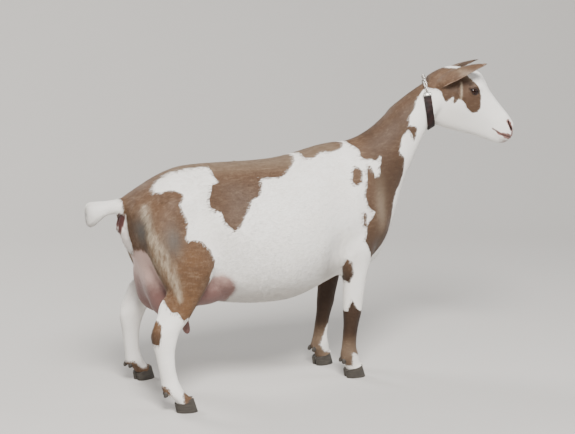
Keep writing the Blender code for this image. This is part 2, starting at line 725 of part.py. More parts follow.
def coronet_plane(kind, foot):
    """A point and the upward normal of the slanted line where hair meets hoof."""
    side = 1 if foot[1] > 0 else -1
    out = side * TOE_OUT[kind]
    slope = (CLAW_TOE_HEIGHT - CLAW_HEEL_HEIGHT) / (CLAW_LENGTH * 0.87)
    middle = (CLAW_TOE_HEIGHT + CLAW_HEEL_HEIGHT) / 2 + slope * CLAW_SLOPE
    normal = Vector((-slope * math.cos(out), -slope * math.sin(out), 1)).normalized()
    return Vector((foot[0], foot[1], middle)) + normal * GAP * 2.2, normal


def arch(name, back, front, top, inner, outer, home, margin=0.0):
    """A region seen from the side as an arch, from the floor up, between two distances from the middle."""
    back, front, top = back - margin, front + margin, top + margin
    low, high = sorted((inner, outer))
    low, high = low - margin, high + margin
    middle, radius = (back + front) / 2, (front - back) / 2
    outline = [(back, -0.02)]
    for turn in np.linspace(math.pi, 0, 13):
        outline.append((middle + radius * math.cos(turn), top - radius * 0.8 * (1 - math.sin(turn))))
    outline.append((front, -0.02))
    rings = [[(x, y, z) for x, z in outline] for y in (low, high)]
    return loft(name, rings, home)


def udder_shape(home):
    pieces = []
    for side in (-1, 1):
        for centre, radii in UDDER:
            pieces.append(ellipsoid("lobe", (centre[0], side * centre[1], centre[2]), radii, home))
        top = Vector((TEAT_TOP[0], side * TEAT_TOP[1], TEAT_TOP[2]))
        tip = Vector((TEAT_TIP[0], side * TEAT_TIP[1], TEAT_TIP[2]))
        radii = [TEAT_RADII[0], 0.0125, 0.0112, TEAT_RADII[1], 0.0095, 0.0060]
        pieces.append(tube("teat", [top.lerp(tip, k / 5) for k in range(6)], radii, home, sides=14))
    return melt(merge("udder_shape", pieces, home), 0.0032, 10)


def collar_ring(flesh, share):
    """Points of the collar's path on the hair, looking along the neck: angle 0 at the throat."""
    axis = (Matrix.Rotation(COLLAR_TURN, 3, "Z") @ Vector((1, 0, COLLAR_LEAN))).normalized()
    centre = Vector(COLLAR_AT) + axis * share
    across = Vector((0, 0, 1)).cross(axis).normalized()
    down = across.cross(axis).normalized()
    if down.z > 0:
        down = -down
    ring = []
    for turn in np.linspace(-math.pi, math.pi, 72, endpoint=False):
        way = down * math.cos(turn) + across * math.sin(turn)
        hit = surface_hit(flesh, centre + way * 0.16, -way)
        ring.append((hit - centre).length)
    ring = np.array(ring)
    ring = np.maximum.reduce([np.roll(ring, k) for k in (-1, 0, 1)])
    return centre, across, down, ring


def strap_reach(sections, turn, spread):
    """Distance of the strap's back, middle and front from the neck's middle, with a bounded slope across."""
    reach = [np.interp(turn, spread, ring) for _, _, _, ring in sections]
    drop = 0.45 * STRAP_WIDTH / 2
    return [max(reach[j] - drop * abs(j - k) for j in range(3)) for k in range(3)]


def strap_shape(name, flesh, home):
    """The strap under the throat, open over the nape, as a band with square edges."""
    turns = np.linspace(-STRAP_REACH, STRAP_REACH, 41)
    sections = [collar_ring(flesh, share) for share in (-STRAP_WIDTH / 2, 0.0, STRAP_WIDTH / 2)]
    spread = np.linspace(-math.pi, math.pi, 72, endpoint=False)
    rings = []
    for turn in turns:
        lift = STRAP_LIFT * max(0.0, (abs(turn) - 1.2) / (STRAP_REACH - 1.2)) ** 2
        inner, outer = [], []
        for (centre, across, down, ring), reach in zip(sections, strap_reach(sections, turn, spread)):
            radius = reach + STRAP_CLEAR + lift
            way = down * math.cos(turn) + across * math.sin(turn)
            inner.append(tuple(centre + way * radius))
            outer.append(tuple(centre + way * (radius + STRAP_THICK)))
        rings.append(inner + outer[::-1])
    return loft(name, rings, home)


def collar_end(name, flesh, side, home):
    """The metal fitting folded round one end of the strap."""
    edge = STRAP_WIDTH / 2 + 0.001
    sections = [collar_ring(flesh, share) for share in (-edge, 0.0, edge)]
    spread = np.linspace(-math.pi, math.pi, 72, endpoint=False)
    rings = []
    for k, extra in zip(np.linspace(0.02, 0.20, 5), (0.0, 0.0016, 0.0022, 0.0016, 0.0)):
        turn = side * (STRAP_REACH + k)
        inner, outer = [], []
        for (centre, across, down, ring), reach in zip(sections, strap_reach(sections, turn, spread)):
            radius = reach + STRAP_CLEAR + STRAP_LIFT
            way = down * math.cos(turn) + across * math.sin(turn)
            inner.append(tuple(centre + way * (radius - 0.0006)))
            outer.append(tuple(centre + way * (radius + STRAP_THICK + extra)))
        rings.append(inner + outer[::-1])
    return loft(name, rings, home)


def chain_path(flesh, count):
    centre, across, down, ring = collar_ring(flesh, 0.0)
    spread = np.linspace(-math.pi, math.pi, 72, endpoint=False)
    path = []
    start = STRAP_REACH + 0.285
    for turn in np.linspace(start, 2 * math.pi - start, count):
        wrapped = turn if turn <= math.pi else turn - 2 * math.pi
        radius = np.interp(wrapped, spread, ring, period=2 * math.pi) + STRAP_CLEAR + 0.0066
        path.append(centre + (down * math.cos(turn) + across * math.sin(turn)) * radius)
    return path


def chain_shape(name, flesh, home):
    """Chain links fused in one body, lying over the nape from one strap end to the other."""
    path = chain_path(flesh, 13)
    pieces = []
    for i in range(len(path) - 1):
        a, b = path[i], path[i + 1]
        ahead = (b - a).normalized()
        out = ((a + b) / 2 - Vector(COLLAR_AT)).normalized()
        across = ahead.cross(out).normalized()
        if i % 2:
            across = (across * 0.6 + out * 0.8).normalized()
        half, reach = 0.0033, (b - a).length / 2 + 0.0018
        middle = (a + b) / 2
        loop = []
        for turn in np.linspace(0, 2 * math.pi, 13):
            loop.append(middle + ahead * reach * math.cos(turn) + across * half * math.sin(turn))
        pieces.append(tube("link", loop, [0.0016] * 13, home, sides=8))
    return decimate(melt(merge(name, pieces, home), 0.0008, 1), CHAIN_TRIANGLES)


def carve_head(head, cutters, home):
    """Opens the eyes, the mouth's line and the nostrils in the head."""
    turn = head_frame().to_3x3()
    for side in (-1, 1):
        eye = in_head(EYE_AT[0], side * EYE_AT[1], EYE_AT[2])
        socket = ellipsoid("eye_socket", eye, [EYE_RADIUS + GAP] * 3, cutters, 20)
        boolean(head, socket, "DIFFERENCE")
        outward = turn @ Vector((0.30, side * 0.93, 0.12))
        along = turn @ Vector((0.93, side * -0.30, 0.0))
        along = (along - outward * along.dot(outward)).normalized()
        above = outward.cross(along) * side
        rings = []
        for deep in (0.004, 0.022):
            ring = []
            for k in np.linspace(0, 2 * math.pi, 20, endpoint=False):
                height = EYE_OPENING[1] / 2 * math.sin(k) * (1.05 if math.sin(k) > 0 else 0.9)
                height *= abs(math.sin(k)) ** 0.3
                across = math.cos(k) * EYE_OPENING[0] / 2
                ring.append(tuple(eye + outward * deep + along * across + above * height))
            rings.append(ring)
        boolean(head, loft("eye_opening", rings, cutters), "DIFFERENCE")
        a, b, c = NOSTRIL_AT
        slit = [(a + 0.0075, b - 0.0065, c - 0.0120), (a + 0.0050, b - 0.0015, c - 0.0070)]
        slit += [(a, b + 0.0020, c), (a - 0.0055, b + 0.0020, c + 0.0035)]
        path = []
        for p in slit:
            outside = in_head(p[0] + 0.03, side * (p[1] + 0.06), p[2] + 0.01)
            inside = in_head(p[0] - 0.02, side * (p[1] - 0.030), p[2])
            path.append(surface_hit(head, outside, inside - outside))
        path = [p for p in path if p is not None]
        radii = (0.0012, 0.0024, 0.0029, 0.0016)[: len(path)]
        boolean(head, tube("nostril", path, radii, cutters), "DIFFERENCE")
    path = mouth_path(head)
    boolean(head, tube("mouth_line", path, [MOUTH_GROOVE] * len(path), cutters, sides=6), "DIFFERENCE")
    return head


def build():
    clear_scene()
    home = collection("dwarf_dairy_goat")
    cutters = collection("cutters", hidden=True)
    white = material("short_white_hair", (0.86, 0.85, 0.82), 0.75)
    horn = material("hoof_horn", (0.20, 0.15, 0.11), 0.5)
    pink = material("udder_skin", (0.55, 0.32, 0.28), 0.6)
    tan = material("tan_hair", (0.36, 0.23, 0.14), 0.75)
    iris = material("eye", (0.10, 0.06, 0.02), 0.1)
    leather = material("collar_leather", (0.03, 0.02, 0.018), 0.45)
    steel = material("collar_steel", (0.6, 0.6, 0.6), 0.3, 1.0)

    made = {}
    body = decimate(body_flesh(home), BODY_TRIANGLES)
    face = head_flesh(home)
    udder = decimate(udder_shape(home), UDDER_TRIANGLES)
    udder.name = "udder"
    body_out = grown(body, "body_out", GAP, cutters)
    made["udder"] = keep_largest(boolean(udder, body_out, "DIFFERENCE")), pink

    collar_flesh = copy_of(face, "collar_flesh", cutters)
    strap = strap_shape("collar_strap", collar_flesh, home)
    made["collar_strap"] = strap, leather
    for side, word in ((-1, "right"), (1, "left")):
        made["collar_end_" + word] = collar_end("collar_end_" + word, collar_flesh, side, home), steel
    made["collar_chain"] = chain_shape("collar_chain", collar_flesh, home), steel

    normal = Matrix.Rotation(HEAD_TURN * 0.8, 3, "Z") @ Vector((1, 0, 0))
    point = Vector(HEAD_CUT)
    head = slice_plane(face, point - normal * 0.012, normal, True)
    decimate(head, FACE_TRIANGLES)
    slice_plane(head, point + normal * GAP / 2, normal, True)
    head.name = "head"
    face_out = grown(head, "face_out", GAP, cutters)
    for side, word in ((-1, "right"), (1, "left")):
        ear = ear_shape("ear_" + word, side, home)
        made["ear_" + word] = keep_largest(boolean(ear, face_out, "DIFFERENCE")), tan
        eye = in_head(EYE_AT[0], side * EYE_AT[1], EYE_AT[2])
        made["eye_" + word] = ellipsoid("eye_" + word, eye, [EYE_RADIUS] * 3, home, 20), iris
    made["head"] = keep_largest(carve_head(head, cutters, home)), white

    neck = copy_of(body, "neck", home)
    slice_plane(neck, point - normal * GAP / 2, normal, False)
    base_normal = Vector((0.235, 0, 0.080)).normalized()
    base = Vector(NECK_CUT)
    slice_plane(neck, base + base_normal * GAP / 2, base_normal, True)
    made["neck"] = keep_largest(neck), white
    slice_plane(body, base - base_normal * GAP / 2, base_normal, False)

    tail = copy_of(body, "tail", home)
    slice_plane(tail, Vector((TAIL_CUT - GAP / 2, 0, 0)), Vector((-1, 0, 0)), True)
    made["tail"] = keep_largest(tail), white
    slice_plane(body, Vector((TAIL_CUT + GAP / 2, 0, 0)), Vector((-1, 0, 0)), False)

    for side, word in ((-1, "right"), (1, "left")):
        for kind, feet, (back, front, top, inner) in (
            ("fore", FORE_FEET, FORE_REGION),
            ("hind", HIND_FEET, HIND_REGION),
        ):
            name = kind + "leg_" + word
            foot = feet[word]
            outer = side * 0.30
            region = arch(name + "_region", back, front, top, side * inner, outer, cutters)
            leg = copy_of(body, name, home)
            boolean(leg, region, "INTERSECT")
            spot, upward = coronet_plane(kind, foot)
            slice_plane(leg, spot, upward, True)
            made[name] = keep_largest(leg), white
            for half in (-1, 1):
                place = "inner" if half * side < 0 else "outer"
                claw = "hoof_" + kind + "_" + word + "_" + place
                made[claw] = claw_shape(claw, kind, foot, half, home), horn
    torso = body
    torso.name = "torso"
    for side in (-1, 1):
        for back, front, top, inner in (FORE_REGION, HIND_REGION):
            region = arch("cut", back, front, top, side * inner, side * 0.30, cutters, margin=GAP)
            boolean(torso, region, "DIFFERENCE")
    made["torso"] = keep_largest(torso), white

    for name, (obj, look) in made.items():
        finish(obj, name, look)
    stand([obj for obj, _ in made.values()])
    for obj in list(cutters.objects):
        bpy.data.objects.remove(obj)
    bpy.data.collections.remove(cutters)


def finish(obj, name, look):
    obj.name = name
    obj.data.name = name
    obj.data.materials.clear()
    obj.data.materials.append(look)
    work = bmesh.new()
    work.from_mesh(obj.data)
    bmesh.ops.triangulate(work, faces=work.faces)
    work.to_mesh(obj.data)
    work.free()
    for polygon in obj.data.polygons:
        polygon.use_smooth = True


def stand(objects):
    """Puts the middle of the whole object's box over the origin and its soles on the floor."""
    points = np.vstack([np.array([v.co[:] for v in obj.data.vertices]) for obj in objects])
    low, high = points.min(0), points.max(0)
    shift = Vector((-(low[0] + high[0]) / 2, -(low[1] + high[1]) / 2, -low[2]))
    for obj in objects:
        obj.data.transform(Matrix.Translation(shift))


build()
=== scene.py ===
import json
import math

import bpy
import bmesh
import numpy as np
from mathutils import Matrix, Vector

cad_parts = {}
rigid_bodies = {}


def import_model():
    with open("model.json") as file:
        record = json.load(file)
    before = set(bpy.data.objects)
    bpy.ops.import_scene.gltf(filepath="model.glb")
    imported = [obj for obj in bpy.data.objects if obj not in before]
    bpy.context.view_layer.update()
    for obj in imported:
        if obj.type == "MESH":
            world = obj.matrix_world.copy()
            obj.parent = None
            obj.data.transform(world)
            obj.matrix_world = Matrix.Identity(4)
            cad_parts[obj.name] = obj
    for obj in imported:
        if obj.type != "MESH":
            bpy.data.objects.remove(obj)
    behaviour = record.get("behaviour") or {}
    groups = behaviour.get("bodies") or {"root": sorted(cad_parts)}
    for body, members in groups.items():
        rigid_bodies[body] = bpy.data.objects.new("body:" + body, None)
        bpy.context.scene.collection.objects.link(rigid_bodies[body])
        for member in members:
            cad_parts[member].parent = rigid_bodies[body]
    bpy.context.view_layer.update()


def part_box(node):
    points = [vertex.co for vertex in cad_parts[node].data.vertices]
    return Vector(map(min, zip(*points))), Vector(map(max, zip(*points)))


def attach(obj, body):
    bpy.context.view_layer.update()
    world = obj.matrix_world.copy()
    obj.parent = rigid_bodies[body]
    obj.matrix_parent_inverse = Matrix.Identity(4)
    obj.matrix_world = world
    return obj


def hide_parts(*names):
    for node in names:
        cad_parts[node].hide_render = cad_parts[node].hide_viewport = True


# A dwarf dairy doe in show pose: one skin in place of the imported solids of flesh, a short sleek coat in
# tufts, wet eyes, horn claws and a leather collar with a steel chain. Metres, +X to the head, +Y to the
# doe's left.

for old in list(bpy.data.objects):
    bpy.data.objects.remove(old)
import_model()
dice = np.random.default_rng(41)

# The tables below stand in the frame of the drawing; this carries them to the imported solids' frame
headRoot = np.array([0.4226, -0.035, 0.6272])
headPitch, headTurn = math.radians(26.0), math.radians(-19.0)
headAxes = np.array(Matrix.Rotation(headTurn, 3, "Z") @ Matrix.Rotation(headPitch, 3, "Y"))
eyePlan = {"at": (0.0555, 0.0330, 0.0420), "radius": 0.0108, "lid": 0.0020,
           "length": 0.0200, "height": 0.0112}


def fromHead(local):
    # head's own frame (along the nose, left, up) to the body's frame
    return np.asarray(local, float) @ headAxes.T + headRoot


def toHead(points):
    # the way back, from the body's frame to the head's
    return (points - headRoot) @ headAxes


eyeLow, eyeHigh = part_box("eye_right")
eyeRight = fromHead((eyePlan["at"][0], -eyePlan["at"][1], eyePlan["at"][2]))
shift = np.array((eyeLow + eyeHigh) / 2) - eyeRight
shift[2] = 0.0
print("frame read, tables move by", shift.round(5))


# Small numeric tools

def ramp(value, low, high):
    # 0 below low, 1 above high, a smooth cubic step between
    t = np.clip((np.asarray(value, float) - low) / (high - low), 0, 1)
    return t * t * (3 - 2 * t)


def smoothRows(rows, count):
    # Catmull-Rom rows through the given ones, evenly spaced in the row number
    rows = np.array(rows, float)
    padded = np.vstack([2 * rows[0] - rows[1], rows, 2 * rows[-1] - rows[-2]])
    place = np.linspace(0, len(rows) - 1, count)
    low = np.minimum(place.astype(int), len(rows) - 2)
    t = (place - low)[:, None]
    a, b, c, d = (padded[low + k] for k in range(4))
    return 0.5 * (2 * b + (c - a) * t + (2 * a - 5 * b + 4 * c - d) * t**2 + (3 * b - a - 3 * c + d) * t**3)


def closedCurve(points, count):
    # closed Catmull-Rom curve through points (..., n, 2), sampled count times
    points = np.asarray(points, float)
    n = points.shape[-2]
    place = np.linspace(0, n, count, endpoint=False)
    low = place.astype(int)
    t = (place - low)[:, None]
    a, b, c, d = (points[..., (low + k) % n, :] for k in (-1, 0, 1, 2))
    return 0.5 * (2 * b + (c - a) * t + (2 * a - 5 * b + 4 * c - d) * t**2 + (3 * b - a - 3 * c + d) * t**3)


def turns(count):
    # a full turn in even steps, the last one short of the first
    return np.linspace(0, 2 * math.pi, count, endpoint=False)


def blend(one, two, share):
    # one where the share is 0, two where it is 1
    return one * (1 - share) + two * share


def bell(value, reach):
    # 1 at 0, fading away to both sides
    return np.exp(-((value / reach) ** 2))


def blob(points, centre, reach):
    # 1 in the middle of a soft ellipsoid, fading away from it
    return np.exp(-(((points - np.array(centre)) / np.array(reach)) ** 2).sum(1))


def superRing(count, above, below):
    # unit ring (across, up) with its own squareness above and below
    turn = turns(count)
    cosine, sine = np.cos(turn), np.sin(turn)
    power = np.where(sine >= 0, 2 / above, 2 / below)
    return np.sign(cosine) * np.abs(cosine) ** power, np.sign(sine) * np.abs(sine) ** power


def unit(vectors):
    # the same ways, one long
    return vectors / (np.linalg.norm(vectors, axis=-1, keepdims=True) + 1e-12)


def facingOut(points, tris, middle):
    # the faces are turned round if the volume they hold comes out negative
    a, b, c = (points[tris[:, s]] - middle for s in range(3))
    inside = np.einsum("ij,ij->i", a, np.cross(b, c)).sum() < 0
    return points, tris[:, ::-1] if inside else tris


def closedGrid(rings):
    # rings of points (n, m, 3) joined by quads, with a fan at each end; returns points and faces
    rings = np.asarray(rings, float)
    n, m = rings.shape[:2]
    points = np.vstack([rings.reshape(-1, 3), rings[0].mean(0), rings[-1].mean(0)])
    i, j = np.meshgrid(np.arange(n - 1), np.arange(m), indexing="ij")
    k = (j + 1) % m
    quads = np.stack([i * m + j, i * m + k, (i + 1) * m + k, (i + 1) * m + j], -1).reshape(-1, 4)
    j, k = np.arange(m), (np.arange(m) + 1) % m
    first = np.stack([np.full(m, n * m), k, j], -1)
    last = np.stack([np.full(m, n * m + 1), (n - 1) * m + j, (n - 1) * m + k], -1)
    tris = np.vstack([first, last, quads[:, [0, 1, 2]], quads[:, [0, 2, 3]]])
    return facingOut(points, tris, points[0])


def loopGrid(rings):
    # a ring of rings (closed both ways), such as a chain link
    rings = np.asarray(rings, float)
    n, m = rings.shape[:2]
    i, j = np.meshgrid(np.arange(n), np.arange(m), indexing="ij")
    i2, j2 = (i + 1) % n, (j + 1) % m
    quads = np.stack([i * m + j, i * m + j2, i2 * m + j2, i2 * m + j], -1).reshape(-1, 4)
    tris = np.vstack([quads[:, [0, 1, 2]], quads[:, [0, 2, 3]]])
    return facingOut(rings.reshape(-1, 3), tris, 0)


def joined(shapes):
    # several shapes as one set of points and faces
    points, faces, count = [], [], 0
    for p, f in shapes:
        points.append(p)
        faces.append(f + count)
        count += len(p)
    return np.vstack(points), np.vstack(faces)


def tubeGrid(path, radii, sides=12):
    path = np.asarray(path, float)
    radii = np.broadcast_to(radii, len(path)).astype(float)
    ahead = unit(np.gradient(path, axis=0))
    across = unit(np.cross(ahead, [0.12, 0.05, 1.0]))
    up = np.cross(across, ahead)
    turn = turns(sides)
    ring = np.cos(turn)[None, :, None] * across[:, None] + np.sin(turn)[None, :, None] * up[:, None]
    return closedGrid(path[:, None] + radii[:, None, None] * ring)


def eggGrid(centre, radii, rows=14, sides=24):
    # an ellipsoid as rings from pole to pole
    lift = np.linspace(-math.pi / 2, math.pi / 2, rows + 2)[1:-1]
    turn = turns(sides)
    wide = np.cos(lift)[:, None]
    ball = [wide * np.cos(turn), wide * np.sin(turn), np.repeat(np.sin(lift)[:, None], sides, 1)]
    points, tris = closedGrid(np.stack(ball, -1))
    points[-2:] = [[0, 0, -1], [0, 0, 1]]
    return points * np.array(radii) + np.array(centre), tris


def meshObject(name, points, tris):
    # a smooth-shaded object from arrays of points and triangles
    mesh = bpy.data.meshes.new(name)
    mesh.vertices.add(len(points))
    mesh.vertices.foreach_set("co", np.asarray(points, np.float32).ravel())
    mesh.loops.add(tris.size)
    mesh.loops.foreach_set("vertex_index", np.asarray(tris, np.int32).ravel())
    mesh.polygons.add(len(tris))
    mesh.polygons.foreach_set("loop_start", np.arange(0, tris.size, 3, dtype=np.int32))
    mesh.polygons.foreach_set("use_smooth", np.full(len(tris), True))
    mesh.update(calc_edges=True)
    mesh.validate()
    made = bpy.data.objects.new(name, mesh)
    bpy.context.scene.collection.objects.link(made)
    return made


def readOut(items, name, kind, wide):
    # one property of all the items of a mesh as rows of numbers
    flat = np.empty(len(items) * wide, kind)
    items.foreach_get(name, flat)
    return flat.reshape(-1, wide)


def pointsOf(mesh):
    return readOut(mesh.vertices, "co", np.float32, 3).astype(float)


def normalsOf(mesh):
    return readOut(mesh.vertex_normals, "vector", np.float32, 3).astype(float)


def trisOf(mesh):
    mesh.calc_loop_triangles()
    return readOut(mesh.loop_triangles, "vertices", np.int32, 3)


def putPoints(mesh, points):
    mesh.vertices.foreach_set("co", points.astype(np.float32).ravel())
    mesh.update()


def settle(obj):
    # the object's modifiers made part of its mesh
    graph = bpy.context.evaluated_depsgraph_get()
    mesh = bpy.data.meshes.new_from_object(obj.evaluated_get(graph))
    obj.modifiers.clear()
    old = obj.data
    obj.data = mesh
    bpy.data.meshes.remove(old)
    return obj


def melt(name, shapes, voxel, rounds=0):
    # overlapping closed shapes become one skin; rounds of even smoothing take off the steps
    made = meshObject(name, *joined(shapes))
    remesh = made.modifiers.new("melt", "REMESH")
    remesh.mode = "VOXEL"
    remesh.voxel_size = voxel
    if rounds:
        soften = made.modifiers.new("soften", "SMOOTH")
        soften.factor = 0.5
        soften.iterations = rounds
    return settle(made)


def relax(obj, rounds, weight):
    # each point moves towards its neighbours' mean by its own weight
    mesh = obj.data
    points = pointsOf(mesh)
    one, two = readOut(mesh.edges, "vertices", np.int32, 2).T
    count = len(points)
    degree = np.bincount(one, minlength=count) + np.bincount(two, minlength=count)
    weight = (np.zeros(count) + weight)[:, None]
    for _ in range(rounds):
        total = [np.bincount(one, points[two, k], count) + np.bincount(two, points[one, k], count)
                 for k in range(3)]
        total = np.stack(total, -1)
        points += (total / degree[:, None] - points) * weight
    putPoints(mesh, points)
    return obj


def attribute(obj, name, values):
    made = obj.data.attributes.new(name, "FLOAT", "POINT")
    made.data.foreach_set("value", np.asarray(values, np.float32))


def hideIn(obj, material, names):
    # a finished piece: its material, shifted into the shared frame, riding the root
    obj.data.materials.clear()
    obj.data.materials.append(material)
    putPoints(obj.data, pointsOf(obj.data) + shift)
    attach(obj, "root")
    if names:
        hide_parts(*names)


# Body: station tables, each row one section

bodyPlan = {
    "voxel": 0.0030,
    "blendRounds": 54,
    # x, back height, belly height, height of the widest level, half width, squareness above, below
    "torso": [
        (-0.337, 0.432, 0.345, 0.390, 0.030, 2.0, 2.0),
        (-0.325, 0.446, 0.315, 0.388, 0.056, 2.1, 2.1),
        (-0.295, 0.465, 0.285, 0.385, 0.076, 2.1, 2.1),
        (-0.250, 0.488, 0.255, 0.385, 0.088, 2.1, 2.1),
        (-0.205, 0.502, 0.228, 0.385, 0.095, 2.1, 2.1),
        (-0.155, 0.506, 0.206, 0.360, 0.108, 1.9, 2.2),
        (-0.100, 0.506, 0.193, 0.335, 0.128, 1.8, 2.2),
        (-0.040, 0.505, 0.187, 0.325, 0.141, 1.85, 2.2),
        (0.020, 0.507, 0.187, 0.328, 0.142, 1.9, 2.2),
        (0.070, 0.516, 0.195, 0.335, 0.131, 1.85, 2.1),
        (0.120, 0.529, 0.210, 0.345, 0.112, 1.75, 2.0),
        (0.160, 0.536, 0.223, 0.355, 0.096, 1.65, 2.0),
        (0.200, 0.532, 0.233, 0.362, 0.088, 1.65, 2.0),
        (0.240, 0.500, 0.245, 0.362, 0.078, 1.8, 2.0),
        (0.270, 0.450, 0.262, 0.355, 0.062, 2.0, 2.0),
        (0.290, 0.400, 0.290, 0.345, 0.038, 2.0, 2.0),
    ],
    # crest x, z, throat x, z, half width, shift aside
    "neck": [
        (0.120, 0.520, 0.262, 0.270, 0.060, 0.000),
        (0.165, 0.531, 0.292, 0.300, 0.073, 0.000),
        (0.215, 0.540, 0.312, 0.345, 0.069, -0.001),
        (0.262, 0.563, 0.326, 0.400, 0.059, -0.004),
        (0.302, 0.598, 0.343, 0.452, 0.051, -0.010),
        (0.339, 0.630, 0.358, 0.495, 0.046, -0.018),
        (0.376, 0.655, 0.374, 0.536, 0.0425, -0.026),
        (0.410, 0.675, 0.395, 0.573, 0.040, -0.033),
        (0.440, 0.680, 0.435, 0.600, 0.032, -0.040),
    ],
    # x, middle height, half height, half width
    "tail": [
        (-0.300, 0.430, 0.022, 0.020),
        (-0.325, 0.428, 0.0205, 0.0195),
        (-0.345, 0.4250, 0.0175, 0.0180),
        (-0.365, 0.4240, 0.0165, 0.0185),
        (-0.382, 0.4200, 0.0190, 0.0205),
        (-0.398, 0.4140, 0.0260, 0.0225),
        (-0.411, 0.4110, 0.0285, 0.0205),
        (-0.419, 0.4130, 0.0210, 0.0130),
    ],
    # soft raises and hollows: place on the left side, reach each way, height
    "swells": [
        ((-0.188, 0.085, 0.470), (0.030, 0.040, 0.024), 0.0085),
        ((-0.324, 0.050, 0.414), (0.022, 0.030, 0.028), 0.0090),
        ((-0.255, 0.095, 0.440), (0.030, 0.040, 0.030), 0.0050),
        ((-0.205, 0.100, 0.405), (0.028, 0.050, 0.030), -0.0050),
        ((-0.128, 0.120, 0.430), (0.032, 0.060, 0.036), -0.0085),
        ((-0.185, 0.115, 0.292), (0.026, 0.045, 0.032), 0.0080),
        ((-0.140, 0.095, 0.255), (0.030, 0.040, 0.024), 0.0060),
        ((-0.275, 0.090, 0.335), (0.026, 0.050, 0.060), 0.0050),
        ((-0.335, 0.000, 0.375), (0.020, 0.018, 0.024), 0.0060),
        ((-0.330, 0.022, 0.340), (0.020, 0.012, 0.040), -0.0040),
        ((0.200, 0.095, 0.440), (0.016, 0.040, 0.060), 0.0060),
        ((0.232, 0.085, 0.390), (0.020, 0.040, 0.050), 0.0040),
        ((0.165, 0.105, 0.400), (0.020, 0.050, 0.060), 0.0040),
        ((0.262, 0.072, 0.340), (0.024, 0.036, 0.030), 0.0080),
        ((0.238, 0.090, 0.440), (0.012, 0.040, 0.050), -0.0045),
        ((0.152, 0.095, 0.278), (0.016, 0.030, 0.022), 0.0080),
        ((0.185, 0.095, 0.300), (0.026, 0.030, 0.030), 0.0060),
        ((0.120, 0.115, 0.300), (0.022, 0.050, 0.040), -0.0060),
        ((0.292, 0.000, 0.315), (0.030, 0.016, 0.045), -0.0030),
        ((0.240, 0.022, 0.262), (0.040, 0.025, 0.030), 0.0060),
    ],
}
# Legs: where the feet stand, then height, shift of the middle from above the sole, half depth, half width
# and share of the way out of each section
legPlan = {
    "foreFeet": {"right": (0.190, -0.066), "left": (0.172, 0.058)},
    "hindFeet": {"right": (-0.250, -0.134), "left": (-0.247, 0.131)},
    "foreLeftLean": 0.09,
    "toeOut": {"fore": math.radians(6.0), "hind": math.radians(16.0)},
    # heel sinews from and to, each way back from the foot, share of the way out and height; the skin's web
    # before them
    "sinew": ((0.030, 0.73, 0.245), (0.058, 0.81, 0.173)),
    "sinewRadii": (0.009, 0.0115),
    "web": ((0.032, 0.77, 0.214), (0.024, 0.0085, 0.034)),
    # dewclaws: height, way back from the foot, way aside
    "dewclaw": {"fore": (0.043, 0.0300, 0.0095), "hind": (0.043, 0.0435, 0.0095)},
    "dewclawRoot": (0.0056, 0.0044, 0.0064),
    "dewclawHorn": (0.0052, 0.0041, 0.0062),
    "fore": [
        (0.400, -0.010, 0.034, 0.016, 0.86),
        (0.350, 0.000, 0.048, 0.024, 0.90),
        (0.300, 0.000, 0.049, 0.030, 0.94),
        (0.262, -0.003, 0.0390, 0.029, 0.97),
        (0.225, -0.004, 0.0290, 0.0245, 1.0),
        (0.190, -0.0063, 0.0265, 0.0215, 1.0),
        (0.165, -0.0080, 0.0235, 0.0200, 1.0),
        (0.148, -0.0085, 0.0225, 0.0200, 1.0),
        (0.128, -0.0105, 0.0190, 0.0172, 1.0),
        (0.100, -0.0135, 0.0174, 0.0152, 1.0),
        (0.072, -0.0155, 0.0180, 0.0158, 1.0),
        (0.050, -0.0140, 0.0222, 0.0192, 1.0),
        (0.036, -0.0090, 0.0200, 0.0188, 1.0),
        (0.024, -0.002, 0.0212, 0.0196, 1.0),
        (0.012, 0.002, 0.0222, 0.0200, 1.0),
    ],
    "hind": [
        (0.455, 0.030, 0.055, 0.030, 0.42),
        (0.410, 0.020, 0.080, 0.040, 0.48),
        (0.360, 0.015, 0.083, 0.044, 0.55),
        (0.310, 0.017, 0.070, 0.043, 0.62),
        (0.275, 0.017, 0.0550, 0.0370, 0.67),
        (0.240, 0.016, 0.0400, 0.0295, 0.72),
        (0.210, 0.003, 0.0300, 0.0240, 0.76),
        (0.190, -0.0125, 0.0313, 0.0215, 0.79),
        (0.168, -0.035, 0.0335, 0.0205, 0.82),
        (0.148, -0.039, 0.0285, 0.0195, 0.85),
        (0.125, -0.0395, 0.0225, 0.0172, 0.88),
        (0.095, -0.038, 0.0198, 0.0160, 0.92),
        (0.068, -0.034, 0.0200, 0.0162, 0.95),
        (0.047, -0.029, 0.0228, 0.0192, 0.98),
        (0.034, -0.017, 0.0205, 0.0188, 1.0),
        (0.024, -0.005, 0.0218, 0.0196, 1.0),
        (0.012, 0.001, 0.0224, 0.0200, 1.0),
    ],
}
# Udder, one half: middle and radii of each lobe, then the teat
udderPlan = {
    "lobes": [
        ((-0.258, 0.027, 0.270), (0.048, 0.043, 0.072)),
        ((-0.238, 0.035, 0.234), (0.059, 0.047, 0.058)),
        ((-0.175, 0.036, 0.246), (0.072, 0.048, 0.046)),
        ((-0.130, 0.032, 0.245), (0.045, 0.044, 0.040)),
    ],
    "teatTop": (-0.226, 0.046, 0.192),
    "teatTip": (-0.214, 0.056, 0.143),
    "teatRadii": (0.0150, 0.0125, 0.0112, 0.0105, 0.0095, 0.0060),
}


def torsoGrid(count=70, around=64):
    # each section is a superellipse whose upper and lower halves have their own heights
    rows = smoothRows(bodyPlan["torso"], count)
    rings = np.empty((count, around, 3))
    for k, (x, top, bottom, wide, width, above, below) in enumerate(rows):
        across, up = superRing(around, above, below)
        height = np.where(up >= 0, wide + up * (top - wide), wide + up * (wide - bottom))
        rings[k] = np.stack([np.full(around, x), across * width, height], -1)
    return closedGrid(rings)


